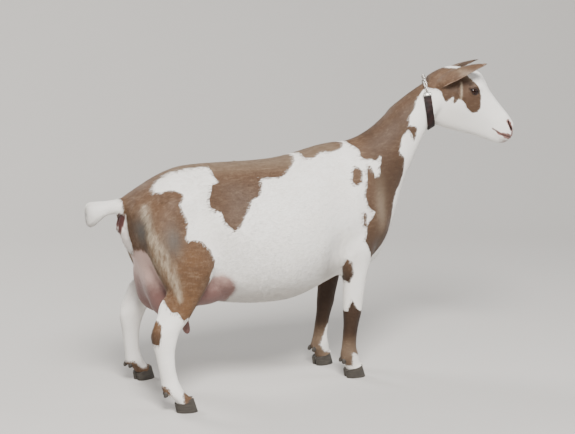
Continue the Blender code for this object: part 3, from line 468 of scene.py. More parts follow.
def neckGrid(rows, count=60, around=64):
    # sections lean from crest to throat; the shift turns the neck to the doe's right
    rows = smoothRows(rows, count)
    crest = rows[:, [0, 5, 1]]
    throat = rows[:, [2, 5, 3]]
    across, up = superRing(around, 1.85, 2.1)
    rings = ((crest + throat) / 2)[:, None] + up[None, :, None] * ((crest - throat) / 2)[:, None]
    rings[:, :, 1] += across[None] * rows[:, 4][:, None]
    return closedGrid(rings)


def feet():
    # every foot: its kind, side, place and how far its toes are turned out
    return [(kind, word, np.array(foot), math.copysign(legPlan["toeOut"][kind], foot[1]))
            for kind in ("fore", "hind") for word, foot in legPlan[kind + "Feet"].items()]


def turnedOut(foot, out, along, across):
    # x and y of a spot given along and across a foot
    return (foot[0] + along * np.cos(out) - across * np.sin(out),
            foot[1] + along * np.sin(out) + across * np.cos(out))


def legGrid(kind, word, foot, toeOut, count=70, around=40):
    # level rings over the foot, their depth turned out towards the toes lower down
    lean = legPlan["foreLeftLean"] if (kind, word) == ("fore", "left") else 0.0
    height, shiftX, depth, width, spread = (column[:, None] for column in smoothRows(legPlan[kind], count).T)
    turn = turns(around)
    out = toeOut * np.clip((0.30 - height) / 0.25, 0, 1)
    middle = (foot[0] + lean * height, foot[1] * spread)
    x, y = turnedOut(middle, out, shiftX + depth * np.cos(turn), width * np.sin(turn))
    return closedGrid(np.stack([x, y, np.repeat(height, around, 1)], -1))


def tailGrid(count=30, around=32):
    x, middle, tall, wide = (column[:, None] for column in smoothRows(bodyPlan["tail"], count).T)
    across, up = superRing(around, 2.2, 2.2)
    return closedGrid(np.stack([np.repeat(x, around, 1), across * wide, middle + up * tall], -1))


def dewclawPlaces():
    # two small claws behind each fetlock: place and turn
    places = []
    for kind, _, foot, out in feet():
        height, back, aside = legPlan["dewclaw"][kind]
        for half in (-1, 1):
            places.append((np.array([*turnedOut(foot, out, -back, half * aside), height]), out))
    return places


def behindFoot(foot, spot):
    # a spot given by its way back from the foot, share of the way out and height
    back, share, height = spot
    return np.array([foot[0] - back, foot[1] * share, height])


def bodyCore():
    # torso, neck, tail and legs melted together, the thin lower legs blended far less
    shapes = [torsoGrid(), neckGrid(bodyPlan["neck"]), tailGrid()]
    shapes += [legGrid(*foot) for foot in feet()]
    for kind, _, foot, _ in feet():
        if kind == "hind":
            path = np.linspace(*(behindFoot(foot, spot) for spot in legPlan["sinew"]), 8)
            shapes.append(tubeGrid(path, np.linspace(*legPlan["sinewRadii"], 8)))
            spot, radii = legPlan["web"]
            shapes.append(eggGrid(behindFoot(foot, spot), radii, 16, 24))
    shapes += [eggGrid(place, legPlan["dewclawRoot"], 8, 12) for place, _ in dewclawPlaces()]
    core = melt("body_core", shapes, bodyPlan["voxel"], 2)
    points = pointsOf(core.data)
    weight = np.clip((points[:, 2] - 0.12) / 0.12, 0.06, 1.0) * 0.5
    weight *= np.clip((points[:, 0] + 0.44) / 0.10, 0.2, 1.0)
    relax(core, bodyPlan["blendRounds"], weight)
    points, normals = pointsOf(core.data), normalsOf(core.data)
    move = np.zeros(len(points))
    for centre, reach, height in bodyPlan["swells"]:
        for side in (-1, 1):
            move += height * blob(points, np.array(centre) * [1, side, 1], reach)
    putPoints(core.data, points + normals * move[:, None])
    return core


def udderGrids():
    # two halves, each of four lobes and a teat
    shapes = []
    for side in (-1, 1):
        flip = np.array([1, side, 1])
        for centre, radii in udderPlan["lobes"]:
            shapes.append(eggGrid(np.array(centre) * flip, radii, 20, 32))
        path = np.linspace(np.array(udderPlan["teatTop"]) * flip, np.array(udderPlan["teatTip"]) * flip, 6)
        shapes.append(tubeGrid(path, udderPlan["teatRadii"], 18))
    return shapes


# Head: distance along, crown, chin, then half width and height of brow, cheek and jaw
headPlan = {
    "voxel": 0.0014,
    "stations": [
        (-0.0462, 0.0352, -0.0264, 0.0198, 0.0246, 0.0252, 0.0035, 0.0162, -0.0158),
        (-0.0277, 0.0581, -0.0458, 0.0279, 0.0414, 0.0360, 0.0053, 0.0234, -0.0299),
        (-0.0092, 0.0730, -0.0581, 0.0324, 0.0546, 0.0405, 0.0070, 0.0270, -0.0387),
        (0.0185, 0.0827, -0.0629, 0.0342, 0.0651, 0.0432, 0.0088, 0.0279, -0.0422),
        (0.0416, 0.0880, -0.0607, 0.0347, 0.0704, 0.0432, 0.0123, 0.0266, -0.0414),
        (0.0601, 0.0884, -0.0572, 0.0347, 0.0686, 0.0414, 0.0141, 0.0248, -0.0387),
        (0.0785, 0.0774, -0.0537, 0.0319, 0.0572, 0.0369, 0.0114, 0.0225, -0.0361),
        (0.0970, 0.0634, -0.0497, 0.0266, 0.0458, 0.0324, 0.0079, 0.0203, -0.0343),
        (0.1201, 0.0515, -0.0458, 0.0216, 0.0370, 0.0270, 0.0035, 0.0180, -0.0317),
        (0.1432, 0.0409, -0.0436, 0.0189, 0.0282, 0.0243, 0.0000, 0.0169, -0.0299),
        (0.1645, 0.0312, -0.0409, 0.0185, 0.0202, 0.0238, -0.0026, 0.0166, -0.0282),
        (0.1793, 0.0216, -0.0356, 0.0171, 0.0123, 0.0216, -0.0062, 0.0149, -0.0246),
        (0.1885, 0.0088, -0.0290, 0.0131, 0.0018, 0.0166, -0.0097, 0.0113, -0.0202),
        (0.1940, -0.0018, -0.0211, 0.0072, -0.0044, 0.0086, -0.0106, 0.0063, -0.0158),
    ],
    "mouth": [(0.1400, -0.0140), (0.1530, -0.0165), (0.1680, -0.0175), (0.1820, -0.0145), (0.1950, -0.0110)],
    "lip": 0.0038,
    # raised over the skull: brow and cheekbone as paths with radii, nose wing and ear root as eggs
    "ridges": [
        ([(0.046, 0.0360, 0.0540), (0.060, 0.0378, 0.0560), (0.074, 0.0342, 0.0525)],
         (0.004, 0.0052, 0.004)),
        ([(0.058, 0.0385, 0.0230), (0.037, 0.0408, 0.0210), (0.015, 0.0395, 0.0245)],
         (0.004, 0.006, 0.005)),
    ],
    "eggs": [
        ((0.1755, 0.0112, 0.0110), (0.0110, 0.0078, 0.0098)),
        ((-0.012, 0.0280, 0.027), (0.016, 0.0145, 0.017)),
    ],
    "nostril": [(0.1790, 0.0060, -0.0015), (0.1760, 0.0110, 0.0035), (0.1715, 0.0143, 0.0095),
                (0.1680, 0.0147, 0.0118)],
    "nostrilRadii": (0.0016, 0.0030, 0.0035, 0.0020),
}
# Ears: root, tip of the right (-1) and left (1) one, then share of the length, half width, depth of the cup
earPlan = {
    "root": (-0.0190, 0.0265, 0.0200),
    "tip": {-1: (0.0530, 0.066, 0.1130), 1: (0.0625, 0.060, 0.1180)},
    "wall": 0.0028,
    "rows": [
        (-0.07, 0.0130, 0.0110),
        (0.04, 0.0175, 0.0150),
        (0.16, 0.0225, 0.0165),
        (0.32, 0.0250, 0.0150),
        (0.50, 0.0230, 0.0120),
        (0.68, 0.0180, 0.0085),
        (0.84, 0.0115, 0.0052),
        (0.94, 0.0062, 0.0030),
        (1.00, 0.0026, 0.0015),
    ],
}


def headGrid(count=90, around=72):
    # a closed curve through brow, cheek and jaw points of each station
    rows = smoothRows(headPlan["stations"], count)
    along, crown, chin, browW, browZ, cheekW, cheekZ, jawW, jawZ = rows.T
    zero = np.zeros(count)
    half = [(zero, crown), (browW * 0.62, crown * 0.72 + browZ * 0.28), (browW, browZ), (cheekW, cheekZ)]
    half += [(jawW, jawZ), (jawW * 0.45, chin * 0.93 + jawZ * 0.07)]
    whole = half + [(zero, chin)] + [(-w, z) for w, z in reversed(half[1:])]
    corners = np.stack([np.stack(pair, -1) for pair in whole], 1)
    curve = closedCurve(corners, around)
    local = np.concatenate([np.repeat(along[:, None, None], around, 1), curve], -1)
    return closedGrid(fromHead(local))


def earFrame(side):
    root, tip = (fromHead(np.array(spot) * [1, side, 1]) for spot in (earPlan["root"], earPlan["tip"][side]))
    ahead = unit(tip - root)
    openTo = headAxes @ np.array([0.68, side * -0.42, -0.55])
    openTo = unit(openTo - ahead * (openTo @ ahead))
    return root, tip, ahead, openTo, unit(np.cross(ahead, openTo))


def earGrid(side):
    # a leaf rolled into a cup: an arc outside, a thinner arc inside, solid at the root
    root, tip, ahead, openTo, wide = earFrame(side)
    share, half, depth = smoothRows(earPlan["rows"], 60).T
    bow = 0.006 * np.sin(math.pi * np.maximum(share, 0))
    middle = root + share[:, None] * (tip - root) - openTo * bow[:, None]
    angle = np.linspace(-1.25, 1.25, 21)
    across = half[:, None] * np.sin(angle) / math.sin(1.25)
    deep = depth[:, None] * (np.cos(angle) - math.cos(1.25)) / (1 - math.cos(1.25))
    thick = np.minimum(earPlan["wall"], depth * 0.55)
    solid = np.clip(1 - (share + 0.06) / 0.16, 0, None)
    wall = np.maximum(thick, depth * solid)
    acrossIn = across * (1 - thick / half * 0.8)[:, None]
    deepIn = deep - wall[:, None] * (0.35 + 0.65 * np.cos(angle))
    outer = middle[:, None] + across[..., None] * wide - deep[..., None] * openTo
    inner = middle[:, None] + acrossIn[..., None] * wide - deepIn[..., None] * openTo
    return closedGrid(np.concatenate([outer, inner[:, ::-1]], 1))


def hitFrom(obj, origin, direction):
    # the first spot of the object that a line from the origin meets, or nothing
    found, place, _, _ = obj.ray_cast(Vector(origin), Vector(direction).normalized())
    return np.array(place) if found else None


def mouthPath(obj, lift=0.0):
    # the mouth's line on the skin, right corner round the muzzle to the left corner
    line = smoothRows(headPlan["mouth"], 25)
    middle = line[13][0]
    half = []
    for k, (along, up) in enumerate(line):
        bend = math.radians(82) * max(0, k - 13) / 11
        way = np.array([math.sin(bend), -math.cos(bend), 0])
        start = np.array([min(along, middle), 0, up + lift])
        found = hitFrom(obj, fromHead(start + way * 0.08), headAxes @ -way)
        if found is not None:
            half.append(found)
    front = hitFrom(obj, fromHead((0.26, 0, line[-1][1] + lift)), headAxes @ np.array([-1.0, 0, 0]))
    mirrored = [fromHead(toHead(p) * np.array([1, -1, 1])) for p in reversed(half)]
    return np.array(half + [front] + mirrored)


def headCore():
    # head and upper neck with lids, brows, cheekbones, nose wings and ear roots melted in, then lips
    upperNeck = [(0.290, 0.560, 0.345, 0.470, 0.036, -0.008)] + bodyPlan["neck"][4:]
    shapes = [headGrid(), neckGrid(upperNeck, 44)]
    for side in (-1, 1):
        flip = np.array([1, side, 1])
        ball = eyePlan["radius"] + eyePlan["lid"]
        shapes.append(eggGrid(fromHead(eyePlan["at"] * flip), [ball] * 3, 22, 32))
        for path, radii in headPlan["ridges"]:
            local = smoothRows(np.array(path) * flip, 9)
            shapes.append(tubeGrid(fromHead(local), np.interp(np.linspace(0, 2, 9), range(3), radii)))
        shapes += [eggGrid(fromHead(centre * flip), radii) for centre, radii in headPlan["eggs"]]
    shell = melt("head_core", shapes, headPlan["voxel"], 14)
    lips = []
    for lift in (0.0046, -0.0046):
        # each lip's cord is drawn in towards a point inside the muzzle
        path = mouthPath(shell, lift)
        path += (fromHead((0.152, 0, lift - 0.016)) - path) * 0.06
        size = headPlan["lip"] * (0.55 + 0.45 * np.sin(np.linspace(0, math.pi, len(path))))
        lips.append(tubeGrid(path, size, 12))
    return shell, lips


# Skin: lengths in metres; the coat's depth is how far it lies under the hair's surface on the barrel
skinPlan = {"voxel": 0.00135, "udderVoxel": 0.0026, "triangles": 138000, "coatDepth": 0.0019}


def wantedEdge(points, local):
    # the edge length wanted at each point: fine on face and ears, coarse on the barrel
    x, y, z = points.T
    edge = 0.0046 - 0.0020 * ramp(0.24 - z, 0, 0.08) * ramp(np.abs(y), 0.03, 0.05)
    edge = np.minimum(edge, 0.0030 + 0.002 * ramp(x, -0.34, -0.30))
    edge -= 0.0012 * ramp(local[:, 0], -0.10, -0.05)
    face = ramp(local[:, 0], -0.05, -0.02)
    return blend(edge, 0.0016 + 0.0006 * ramp(-local[:, 0], -0.03, 0.02), face)


def buildSkin():
    # body, head, udder, lips and ears melted into one skin, then thinned where no fine form needs the points
    core = bodyCore()
    print("body core", len(core.data.vertices))
    head, lips = headCore()
    print("head core", len(head.data.vertices))
    udder = melt("udder_core", udderGrids(), skinPlan["udderVoxel"], 12)
    shapes = [(pointsOf(o.data), trisOf(o.data)) for o in (core, head, udder)]
    shapes += lips + [earGrid(-1), earGrid(1)]
    for obj in (core, head, udder):
        bpy.data.objects.remove(obj)
    skin = melt("goat_skin", shapes, skinPlan["voxel"])
    points = pointsOf(skin.data)
    local = toHead(points)
    face = ramp(local[:, 0], -0.06, -0.03)
    relax(skin, 16, 0.5 - 0.12 * face)
    print("skin before thinning", len(skin.data.vertices))
    # the thinning weighs an edge by its length times 1 less the weight
    group = skin.vertex_groups.new(name="keep")
    edge = wantedEdge(points, local)
    steps = np.round(np.clip(1 - 0.0012 / edge, 0, 0.9) * 40).astype(int)
    for step in range(1, 41):
        group.add(np.where(steps == step)[0].tolist(), step / 40, "REPLACE")
    thin = skin.modifiers.new("thin", "DECIMATE")
    thin.vertex_group = "keep"
    thin.ratio = skinPlan["triangles"] / (2.0 * len(points))
    settle(skin)
    skin.vertex_groups.clear()
    print("skin after thinning", len(skin.data.vertices), len(skin.data.polygons))
    return skin


goatSkin = buildSkin()


def earShare(points):
    # share of the ear's length at each point, 0 off the ears
    share = np.zeros(len(points))
    table = np.array(earPlan["rows"])
    for side in (-1, 1):
        root, tip, ahead, openTo, wide = earFrame(side)
        q = points - root
        along = q @ ahead / np.linalg.norm(tip - root)
        across, deep = q @ wide, q @ openTo
        half = np.interp(along, table[:, 0], table[:, 1]) + 0.004
        cup = np.interp(along, table[:, 0], table[:, 2]) + 0.012
        inside = (along > 0.10) & (along < 1.05) & (np.abs(across) < half) & (deep < 0.004) & (deep > -cup)
        share = np.where(inside, along, share)
    return share


def earCup(points, normals):
    # 1 on the hollow side of the ears
    hollow = np.zeros(len(points))
    for side in (-1, 1):
        openTo = earFrame(side)[3]
        hollow = np.where(np.sign(toHead(points)[:, 1]) == side, ramp(normals @ openTo, 0.05, 0.35), hollow)
    return hollow * (earShare(points) > 0.06)


# Fine features: the mesh is cut finer where they are, then its points are moved

def eyeFrames():
    # for each eye: centre, outward, along the slit (to the nose) and above
    frames = []
    for side in (-1, 1):
        centre = fromHead(eyePlan["at"] * np.array([1, side, 1]))
        outward = unit(headAxes @ np.array([0.30, side * 0.93, 0.12]))
        along = headAxes @ np.array([0.93, side * -0.30, 0.0])
        along = unit(along - outward * (along @ outward))
        frames.append((centre, outward, along, np.cross(outward, along) * side))
    return frames


def pathDistance(points, path):
    # distance to a polyline and the share of its length at the nearest place
    best = np.full(len(points), 1e9)
    share = np.zeros(len(points))
    for k in range(len(path) - 1):
        a, b = path[k], path[k + 1]
        t = np.clip((points - a) @ (b - a) / ((b - a) @ (b - a) + 1e-12), 0, 1)
        gap = np.linalg.norm(points - a - t[:, None] * (b - a), axis=1)
        closer = gap < best
        best[closer] = gap[closer]
        share[closer] = (k + t[closer]) / (len(path) - 1)
    return best, share


def refine(obj, wanted, rounds):
    # faces whose middle is in the wanted region are cut in four, their neighbours follow
    for _ in range(rounds):
        work = bmesh.new()
        work.from_mesh(obj.data)
        bmesh.ops.triangulate(work, faces=[f for f in work.faces if len(f.verts) > 3])
        middles = np.array([f.calc_center_median() for f in work.faces])
        chosen = np.where(wanted(middles))[0]
        work.faces.ensure_lookup_table()
        edges = {e for k in chosen for e in work.faces[k].edges}
        if edges:
            bmesh.ops.subdivide_edges(work, edges=list(edges), cuts=1, use_grid_fill=True, smooth=0.0)
        bmesh.ops.triangulate(work, faces=[f for f in work.faces if len(f.verts) > 3])
        work.to_mesh(obj.data)
        work.free()
    return obj


def nostrilPath(side):
    # the nostril's comma on the skin: each mark is dropped on it from outside
    hits = []
    for a, b, c in smoothRows(headPlan["nostril"], 7):
        outside = fromHead((a + 0.03, side * (b + 0.06), c + 0.01))
        hits.append(hitFrom(goatSkin, outside, fromHead((a - 0.02, side * (b - 0.03), c)) - outside))
    return np.array([hit for hit in hits if hit is not None])


nostrilPaths = [nostrilPath(side) for side in (-1, 1)]
mouthLine = mouthPath(goatSkin)
ventPath = np.array([(-0.345, 0.0, 0.424), (-0.345, 0.0, 0.405), (-0.343, 0.0, 0.388), (-0.338, 0.0, 0.370)])


def faceFeatures(middles):
    near = np.zeros(len(middles), bool)
    for centre, outward, along, above in eyeFrames():
        near |= (np.linalg.norm(middles - centre, axis=1) < 0.0175) & ((middles - centre) @ outward > 0)
    for path in nostrilPaths:
        near |= pathDistance(middles, path)[0] < 0.0065
    return near | (pathDistance(middles, mouthLine[::3])[0] < 0.0045)


def ventFeatures(middles):
    return (pathDistance(middles, ventPath)[0] < 0.024) & (middles[:, 0] < -0.32)


def udderCleft(points):
    # 1 in the furrow between the udder's halves behind, which the skin bridges softly
    x, y, z = points.T
    return bell(y, 0.024) * ramp(-x, 0.235, 0.265) * (ramp(z, 0.205, 0.225) * ramp(0.345 - z, 0, 0.03))


refine(goatSkin, faceFeatures, 2)
refine(goatSkin, ventFeatures, 2)
relax(goatSkin, 3, 0.4)
relax(goatSkin, 12, 0.35 * (earShare(pointsOf(goatSkin.data)) > 0.12))
relax(goatSkin, 60, 0.5 * udderCleft(pointsOf(goatSkin.data)))
print("skin refined", len(goatSkin.data.polygons))


def slitHeight(along, upper):
    # half height of the open lids at a distance along the slit, the upper lid arched a little more
    tall = eyePlan["height"] / 2 * np.where(upper, 1.05, 0.90)
    return tall * np.clip(1 - (along / (eyePlan["length"] / 2)) ** 2, 0, 1) ** 0.65


def eyeShape(points):
    # for both eyes: distance outside the slit (negative in it), height over its middle, the eye's centre
    made = []
    reach = eyePlan["length"] / 2
    for centre, outward, along, above in eyeFrames():
        q = points - centre
        a, b, c = q @ along, q @ above, q @ outward
        gap = np.where(np.abs(a) < reach, np.abs(b) - slitHeight(a, b > 0), np.hypot(np.abs(a) - reach, b))
        made.append((np.where(c > 0.002, gap, 1.0), b, centre))
    return made


# Claws: size on the ground, height of the hair's line at toe and heel, how far each claw's middle lies
# aside from the foot's, shift back at the top
clawPlan = {"length": 0.0445, "width": 0.0178, "toeHeight": 0.0295, "heelHeight": 0.0185, "spread": 0.0094,
            "slope": 0.0060}


def coronet(foot, out):
    # point and normal of the slanted line where hair meets claw
    slope = (clawPlan["toeHeight"] - clawPlan["heelHeight"]) / (clawPlan["length"] * 0.87)
    middle = (clawPlan["toeHeight"] + clawPlan["heelHeight"]) / 2 + slope * clawPlan["slope"]
    normal = unit(np.array([-slope * math.cos(out), -slope * math.sin(out), 1.0]))
    return np.array([foot[0], foot[1], middle]), normal


def udderNear(points, soft=0.09):
    # 1 on and just round the udder's lobes and teats, 0 away from them
    best = np.full(len(points), 9.0)
    for side in (-1, 1):
        flip = np.array([1, side, 1])
        for centre, radii in udderPlan["lobes"]:
            lobe = np.linalg.norm((points - np.array(centre) * flip) / np.array(radii), axis=1)
            best = np.minimum(best, lobe)
        teat = np.array([udderPlan["teatTop"], udderPlan["teatTip"]]) * flip
        best = np.minimum(best, pathDistance(points, teat)[0] / 0.016)
    return 1 - ramp(best, 1.03, 1.03 + soft)


def coatDepth(points, local):
    # how deep the skin lies under the hair's surface: thin on face, ears and feet, none on bare skin
    depth = skinPlan["coatDepth"] - 0.0007 * ramp(0.24 - points[:, 2], 0, 0.06)
    depth = depth - (depth - 0.0009) * ramp(local[:, 0], -0.06, -0.02)
    depth -= 0.0005 * ramp(local[:, 0], 0.15, 0.18)
    depth -= (depth - 0.0003) * udderNear(points, 0.4)
    for gap, _, _ in eyeShape(points):
        depth *= ramp(gap, 0.002, 0.009)
    return depth


def openEyes(points):
    # the skin drawn back behind the eyeballs inside the slit, and lids with their folds round it
    for gap, above, centre in eyeShape(points):
        q = points - centre
        radius = np.linalg.norm(q, axis=1)
        ball = eyePlan["radius"]
        lid = ball + 0.0004 + 0.0012 * ramp(gap, 0, 0.0011)
        lid -= 0.0007 * bell(gap - 0.0042, 0.0009) * (above > 0)
        lid -= 0.0004 * bell(gap - 0.0048, 0.0011) * (above < 0)
        wanted = np.where(gap < -0.0001, ball - 0.0009, lid)
        share = 1 - ramp(gap, 0.0028, 0.0062)
        points = centre + q * ((radius + (wanted - radius) * share) / radius)[:, None]
    return points


def faceRelief(points, local):
    # nostrils, the mouth's line with its rolled edges and the furrow under the nose
    move = np.zeros(len(points))
    for path in nostrilPaths:
        gap, share = pathDistance(points, path)
        size = np.interp(share, np.linspace(0, 1, 4), headPlan["nostrilRadii"])
        move -= 0.0052 * (1 - ramp(gap, 0.35 * size, 1.15 * size))
        move += 0.0006 * bell(gap - 1.7 * size, 0.0011)
    gap, share = pathDistance(points, mouthLine)
    ends = ramp(share, 0.0, 0.07) * ramp(1 - share, 0.0, 0.07)
    move -= 0.0016 * bell(gap, 0.0008) * (0.3 + 0.7 * ends)
    move += 0.0004 * bell(gap - 0.0022, 0.0010) * ends
    nose = ramp(local[:, 0], 0.180, 0.186) * (local[:, 2] < 0.012)
    return move - 0.0007 * nose * bell(local[:, 1], 0.0009)


def ventRelief(points):
    # two lips with a cleft, and the small pit with its rim above them
    x, y, z = points.T
    behind = (x < -0.31) & (x > -0.351) & (z > 0.355)
    lips = np.exp(-((np.abs(y) / 0.0140) ** 4)) * np.exp(-(((z - 0.387) / 0.0185) ** 4))
    hole = np.hypot(y, (z - 0.4165) * 1.1)
    move = behind * 0.0060 * lips * (1 - bell(y, 0.0022) * 1.2)
    return move + behind * (-0.0050 * bell(hole, 0.0028) + 0.0016 * bell(hole - 0.0075, 0.003))


def carveSkin(obj):
    # the coat's depth is taken off, the fine features are pressed in or raised, the legs end in the hooves
    points, normals = pointsOf(obj.data), normalsOf(obj.data)
    local = toHead(points)
    points = openEyes(points - normals * coatDepth(points, local)[:, None])
    points = points + normals * (faceRelief(points, local) + ventRelief(points))[:, None]
    for _, _, foot, out in feet():
        spot, normal = coronet(foot, out)
        near = (np.hypot(points[:, 0] - foot[0], points[:, 1] - foot[1]) < 0.045) & (points[:, 2] < 0.04)
        points = points - normal * (np.minimum((points - spot) @ normal + 0.0006, 0) * near)[:, None]
    putPoints(obj.data, points)
    rims = [0.5 * (np.abs(gap) < 0.0009) for gap, _, _ in eyeShape(points)]
    relax(obj, 3, np.maximum(*rims))


def faceArea(points, tris):
    a, b, c = (points[tris[:, k]] for k in range(3))
    return np.linalg.norm(np.cross(b - a, c - a), axis=1) / 2


collarBody = goatSkin.copy()
collarBody.data = goatSkin.data.copy()
bpy.context.scene.collection.objects.link(collarBody)
carveSkin(goatSkin)
print("skin carved")


# Markings in millimetres: closed outlines seen from the side (x, z), one set for each flank; they meet over
# the back

marks = {
    "right": [
        [(-150, 560), (-150, 482), (-143, 472), (-163, 468), (-176, 441), (-176, 422), (-150, 411),
         (-147, 392), (-136, 379), (-127, 369), (-115, 381), (-104, 397), (-88, 418), (-83, 430),
         (-58, 442), (-47, 461), (-48, 473), (-2, 473), (23, 484), (47, 498), (60, 510), (70, 530),
         (70, 560)],
        [(-360, 560), (-150, 560), (-150, 499), (-174, 496.5), (-204, 496), (-240, 488), (-268, 474),
         (-284, 458), (-268, 459), (-248, 463), (-228, 455), (-241, 435), (-236, 418), (-229, 399),
         (-237, 375), (-237, 360), (-218, 361), (-201, 356), (-182, 337), (-170, 311), (-178, 298),
         (-189, 287), (-185, 248), (-201, 220), (-207, 198), (-220, 179), (-238, 196), (-250, 190),
         (-263, 211), (-277, 210), (-290, 240), (-305, 270), (-330, 330), (-350, 380), (-346, 460)],
        [(77, 560), (75, 507), (97, 505), (108, 511), (120, 516), (152, 515), (169, 521), (187, 531),
         (190, 560)],
        [(197, 600), (195, 532), (210, 516), (211, 501), (219, 495), (232, 495), (245, 491), (259, 504),
         (253, 480), (251, 458), (239, 456), (231, 479), (223, 488), (216, 467), (212, 439), (205, 418),
         (211, 393), (228, 378), (219, 366), (208, 355), (206, 333), (198, 318), (206, 304), (217, 280),
         (240, 272), (262, 296), (278, 325), (287, 360), (289, 395), (296, 420), (305, 430), (316, 454),
         (319, 475), (318, 493), (305, 510), (308, 521), (311, 541), (323, 557), (331, 548), (340, 530),
         (346, 548), (348, 563), (340, 572), (330, 583), (348, 605), (354, 622), (372, 640), (386, 642),
         (400, 660), (400, 720), (330, 700), (250, 620)],
        [(197, 485), (207, 474), (202, 449), (187, 439), (177, 450), (183, 475)],
        [(197, 386), (208, 380), (207, 349), (197, 354)],
        [(152, 284), (170, 274), (175, 242), (167, 219), (158, 226), (147, 262)],
        [(120, 150), (164, 158), (174, 186), (184, 162), (210, 150), (215, 64), (192, 52), (176, 60),
         (176, 30), (120, 20)],
        [(-330, 190), (-303, 199), (-297, 186), (-300, 166), (-306, 146), (-330, 146)],
        [(-330, 60), (-290, 58), (-286, 44), (-330, 36)],
        [(-262, 40), (-245, 46), (-236, 30), (-240, 12), (-262, 16)],
    ],
    "left": [
        [(-150, 560), (-150, 488), (-128, 470), (-118, 446), (-92, 420), (-88, 392), (-62, 366),
         (-40, 372), (-26, 398), (-10, 420), (4, 452), (30, 470), (52, 492), (66, 515), (70, 560)],
        [(-360, 560), (-150, 560), (-150, 496), (-200, 480), (-215, 446), (-206, 412), (-222, 380),
         (-204, 352), (-176, 332), (-180, 300), (-196, 262), (-214, 236), (-236, 222), (-262, 236),
         (-284, 252), (-305, 280), (-330, 330), (-350, 380), (-346, 460)],
        [(77, 560), (74, 510), (100, 500), (126, 508), (150, 506), (175, 520), (190, 560)],
        [(197, 600), (198, 528), (218, 512), (238, 500), (234, 470), (216, 440), (222, 408), (206, 380),
         (196, 345), (214, 312), (226, 284), (240, 272), (262, 296), (278, 325), (287, 360), (291, 400),
         (302, 425), (314, 460), (322, 500), (318, 530), (334, 562), (346, 590), (352, 618), (372, 640),
         (386, 642), (400, 660), (400, 720), (330, 700), (250, 620)],
        [(120, 400), (138, 392), (142, 372), (126, 360), (112, 376)],
        [(100, 176), (134, 190), (138, 226), (152, 236), (160, 248), (172, 232), (186, 240), (230, 224),
         (230, 100), (184, 88), (178, 98), (168, 80), (160, 62), (153, 44), (100, 44)],
        [(100, 50), (156, 52), (166, 34), (190, 30), (190, 12), (100, 10)],
        [(-330, 48), (-280, 52), (-262, 34), (-232, 34), (-230, 10), (-330, 10)],
    ],
}
# The cheeks' brown mark in millimetres, in the head's own side view (along, up), left a little shifted
cheekMark = [
    (-75, -4), (-55, 0), (-45, 4), (-34, 6), (-22, 10), (-13, 9), (-6, 3), (2, -4), (10, -8), (15, 2),
    (19, 10), (24, -1), (28, -2), (32, 10), (38, 12), (50, 9), (58, 2), (68, -1), (80, -3), (89, 4),
    (91, 14), (86, 26), (81, 36), (74, 47), (64, 56), (52, 62), (40, 66), (20, 70), (0, 70), (-15, 66),
    (-28, 62), (-50, 60), (-90, 40),
]


def outlineDepth(flat, outline):
    # signed distance in the plane to a closed outline in millimetres, positive inside, at most 30 mm outside
    outline = np.array(outline) / 1000
    best = np.full(len(flat), 0.03)
    inside = np.zeros(len(flat), bool)
    low, high = outline.min(0) - 0.03, outline.max(0) + 0.03
    near = np.where(((flat > low) & (flat < high)).all(1))[0]
    p = flat[near]
    gap = np.full(len(p), 0.03)
    odd = np.zeros(len(p), bool)
    for a, b in zip(outline, np.roll(outline, -1, 0)):
        t = np.clip((p - a) @ (b - a) / ((b - a) @ (b - a)), 0, 1)
        gap = np.minimum(gap, np.linalg.norm(p - a - t[:, None] * (b - a), axis=1))
        crosses = (a[1] > p[:, 1]) != (b[1] > p[:, 1])
        at = a[0] + (p[:, 1] - a[1]) * (b[0] - a[0]) / (b[1] - a[1] + 1e-12)
        odd ^= crosses & (p[:, 0] < at)
    best[near], inside[near] = gap, odd
    return np.where(inside, best, -best)


def smooth3(points, scale, seed):
    # a cheap smooth noise in -1..1: sines along turned axes
    turn = np.random.default_rng(seed)
    total = np.zeros(len(points))
    for _ in range(6):
        way = turn.normal(size=3)
        total += np.sin(points @ way * scale + turn.uniform(0, 6.28))
    return total / 3.5


# Soft spots of the markings and of painted shade, mirrored: middle, reach each way, strength
spots = {
    "deep": [((0.285, 0, 0.455), (0.05, 0.3, 0.045), 0.25), ((0.21, 0, 0.30), (0.03, 0.3, 0.05), 0.8)],
    "shaved": [((-0.321, 0.066, 0.382), (0.021, 0.020, 0.034), 1.0),
               ((-0.266, 0.112, 0.362), (0.020, 0.030, 0.034), 0.8)],
    "bare": [((-0.152, 0.088, 0.238), (0.036, 0.040, 0.042), 1.3),
             ((-0.305, 0.040, 0.300), (0.034, 0.034, 0.050), 1.3)],
    # thin: the white greyed low on the belly, partly thin hair and partly painted shade, and painted shade
    # behind the elbows
    "thin": [((-0.20, 0, 0.25), (0.06, 0.07, 0.05), 0.45), ((0.112, 0, 0.262), (0.024, 1, 0.034), 0.60)],
}
# The cream streak down the thigh, and the cheeks' dark spots: along, up, reach each way, strength
thighStreak = np.array([
    (-0.308, 0.059, 0.432), (-0.311, 0.076, 0.405), (-0.310, 0.086, 0.379), (-0.301, 0.100, 0.360),
    (-0.292, 0.110, 0.334), (-0.278, 0.117, 0.300), (-0.264, 0.121, 0.265), (-0.258, 0.122, 0.239),
])
cheekSpots = [(0.043, 0.0545, 0.018, 0.0075, 1.00), (0.021, 0.031, 0.0060, 0.015, 0.95),
              (0.030, 0.016, 0.007, 0.008, 0.80), (0.0815, 0.015, 0.009, 0.012, 0.55),
              (0.006, 0.008, 0.007, 0.007, 0.50), (0.008, 0.024, 0.010, 0.008, 0.60)]
cheekStreak = np.array([(0.0215, 0.048), (0.030, 0.031), (0.0375, 0.012)])


def strongest(*layers):
    # the greatest of several markings at each point
    return np.maximum.reduce(np.broadcast_arrays(*layers))


def spotted(points, name):
    # the strongest of the named soft spots at each point, on both flanks
    return strongest(*(strength * blob(points, np.array(centre) * [1, side, 1], reach)
                     for centre, reach, strength in spots[name] for side in (-1, 1)))


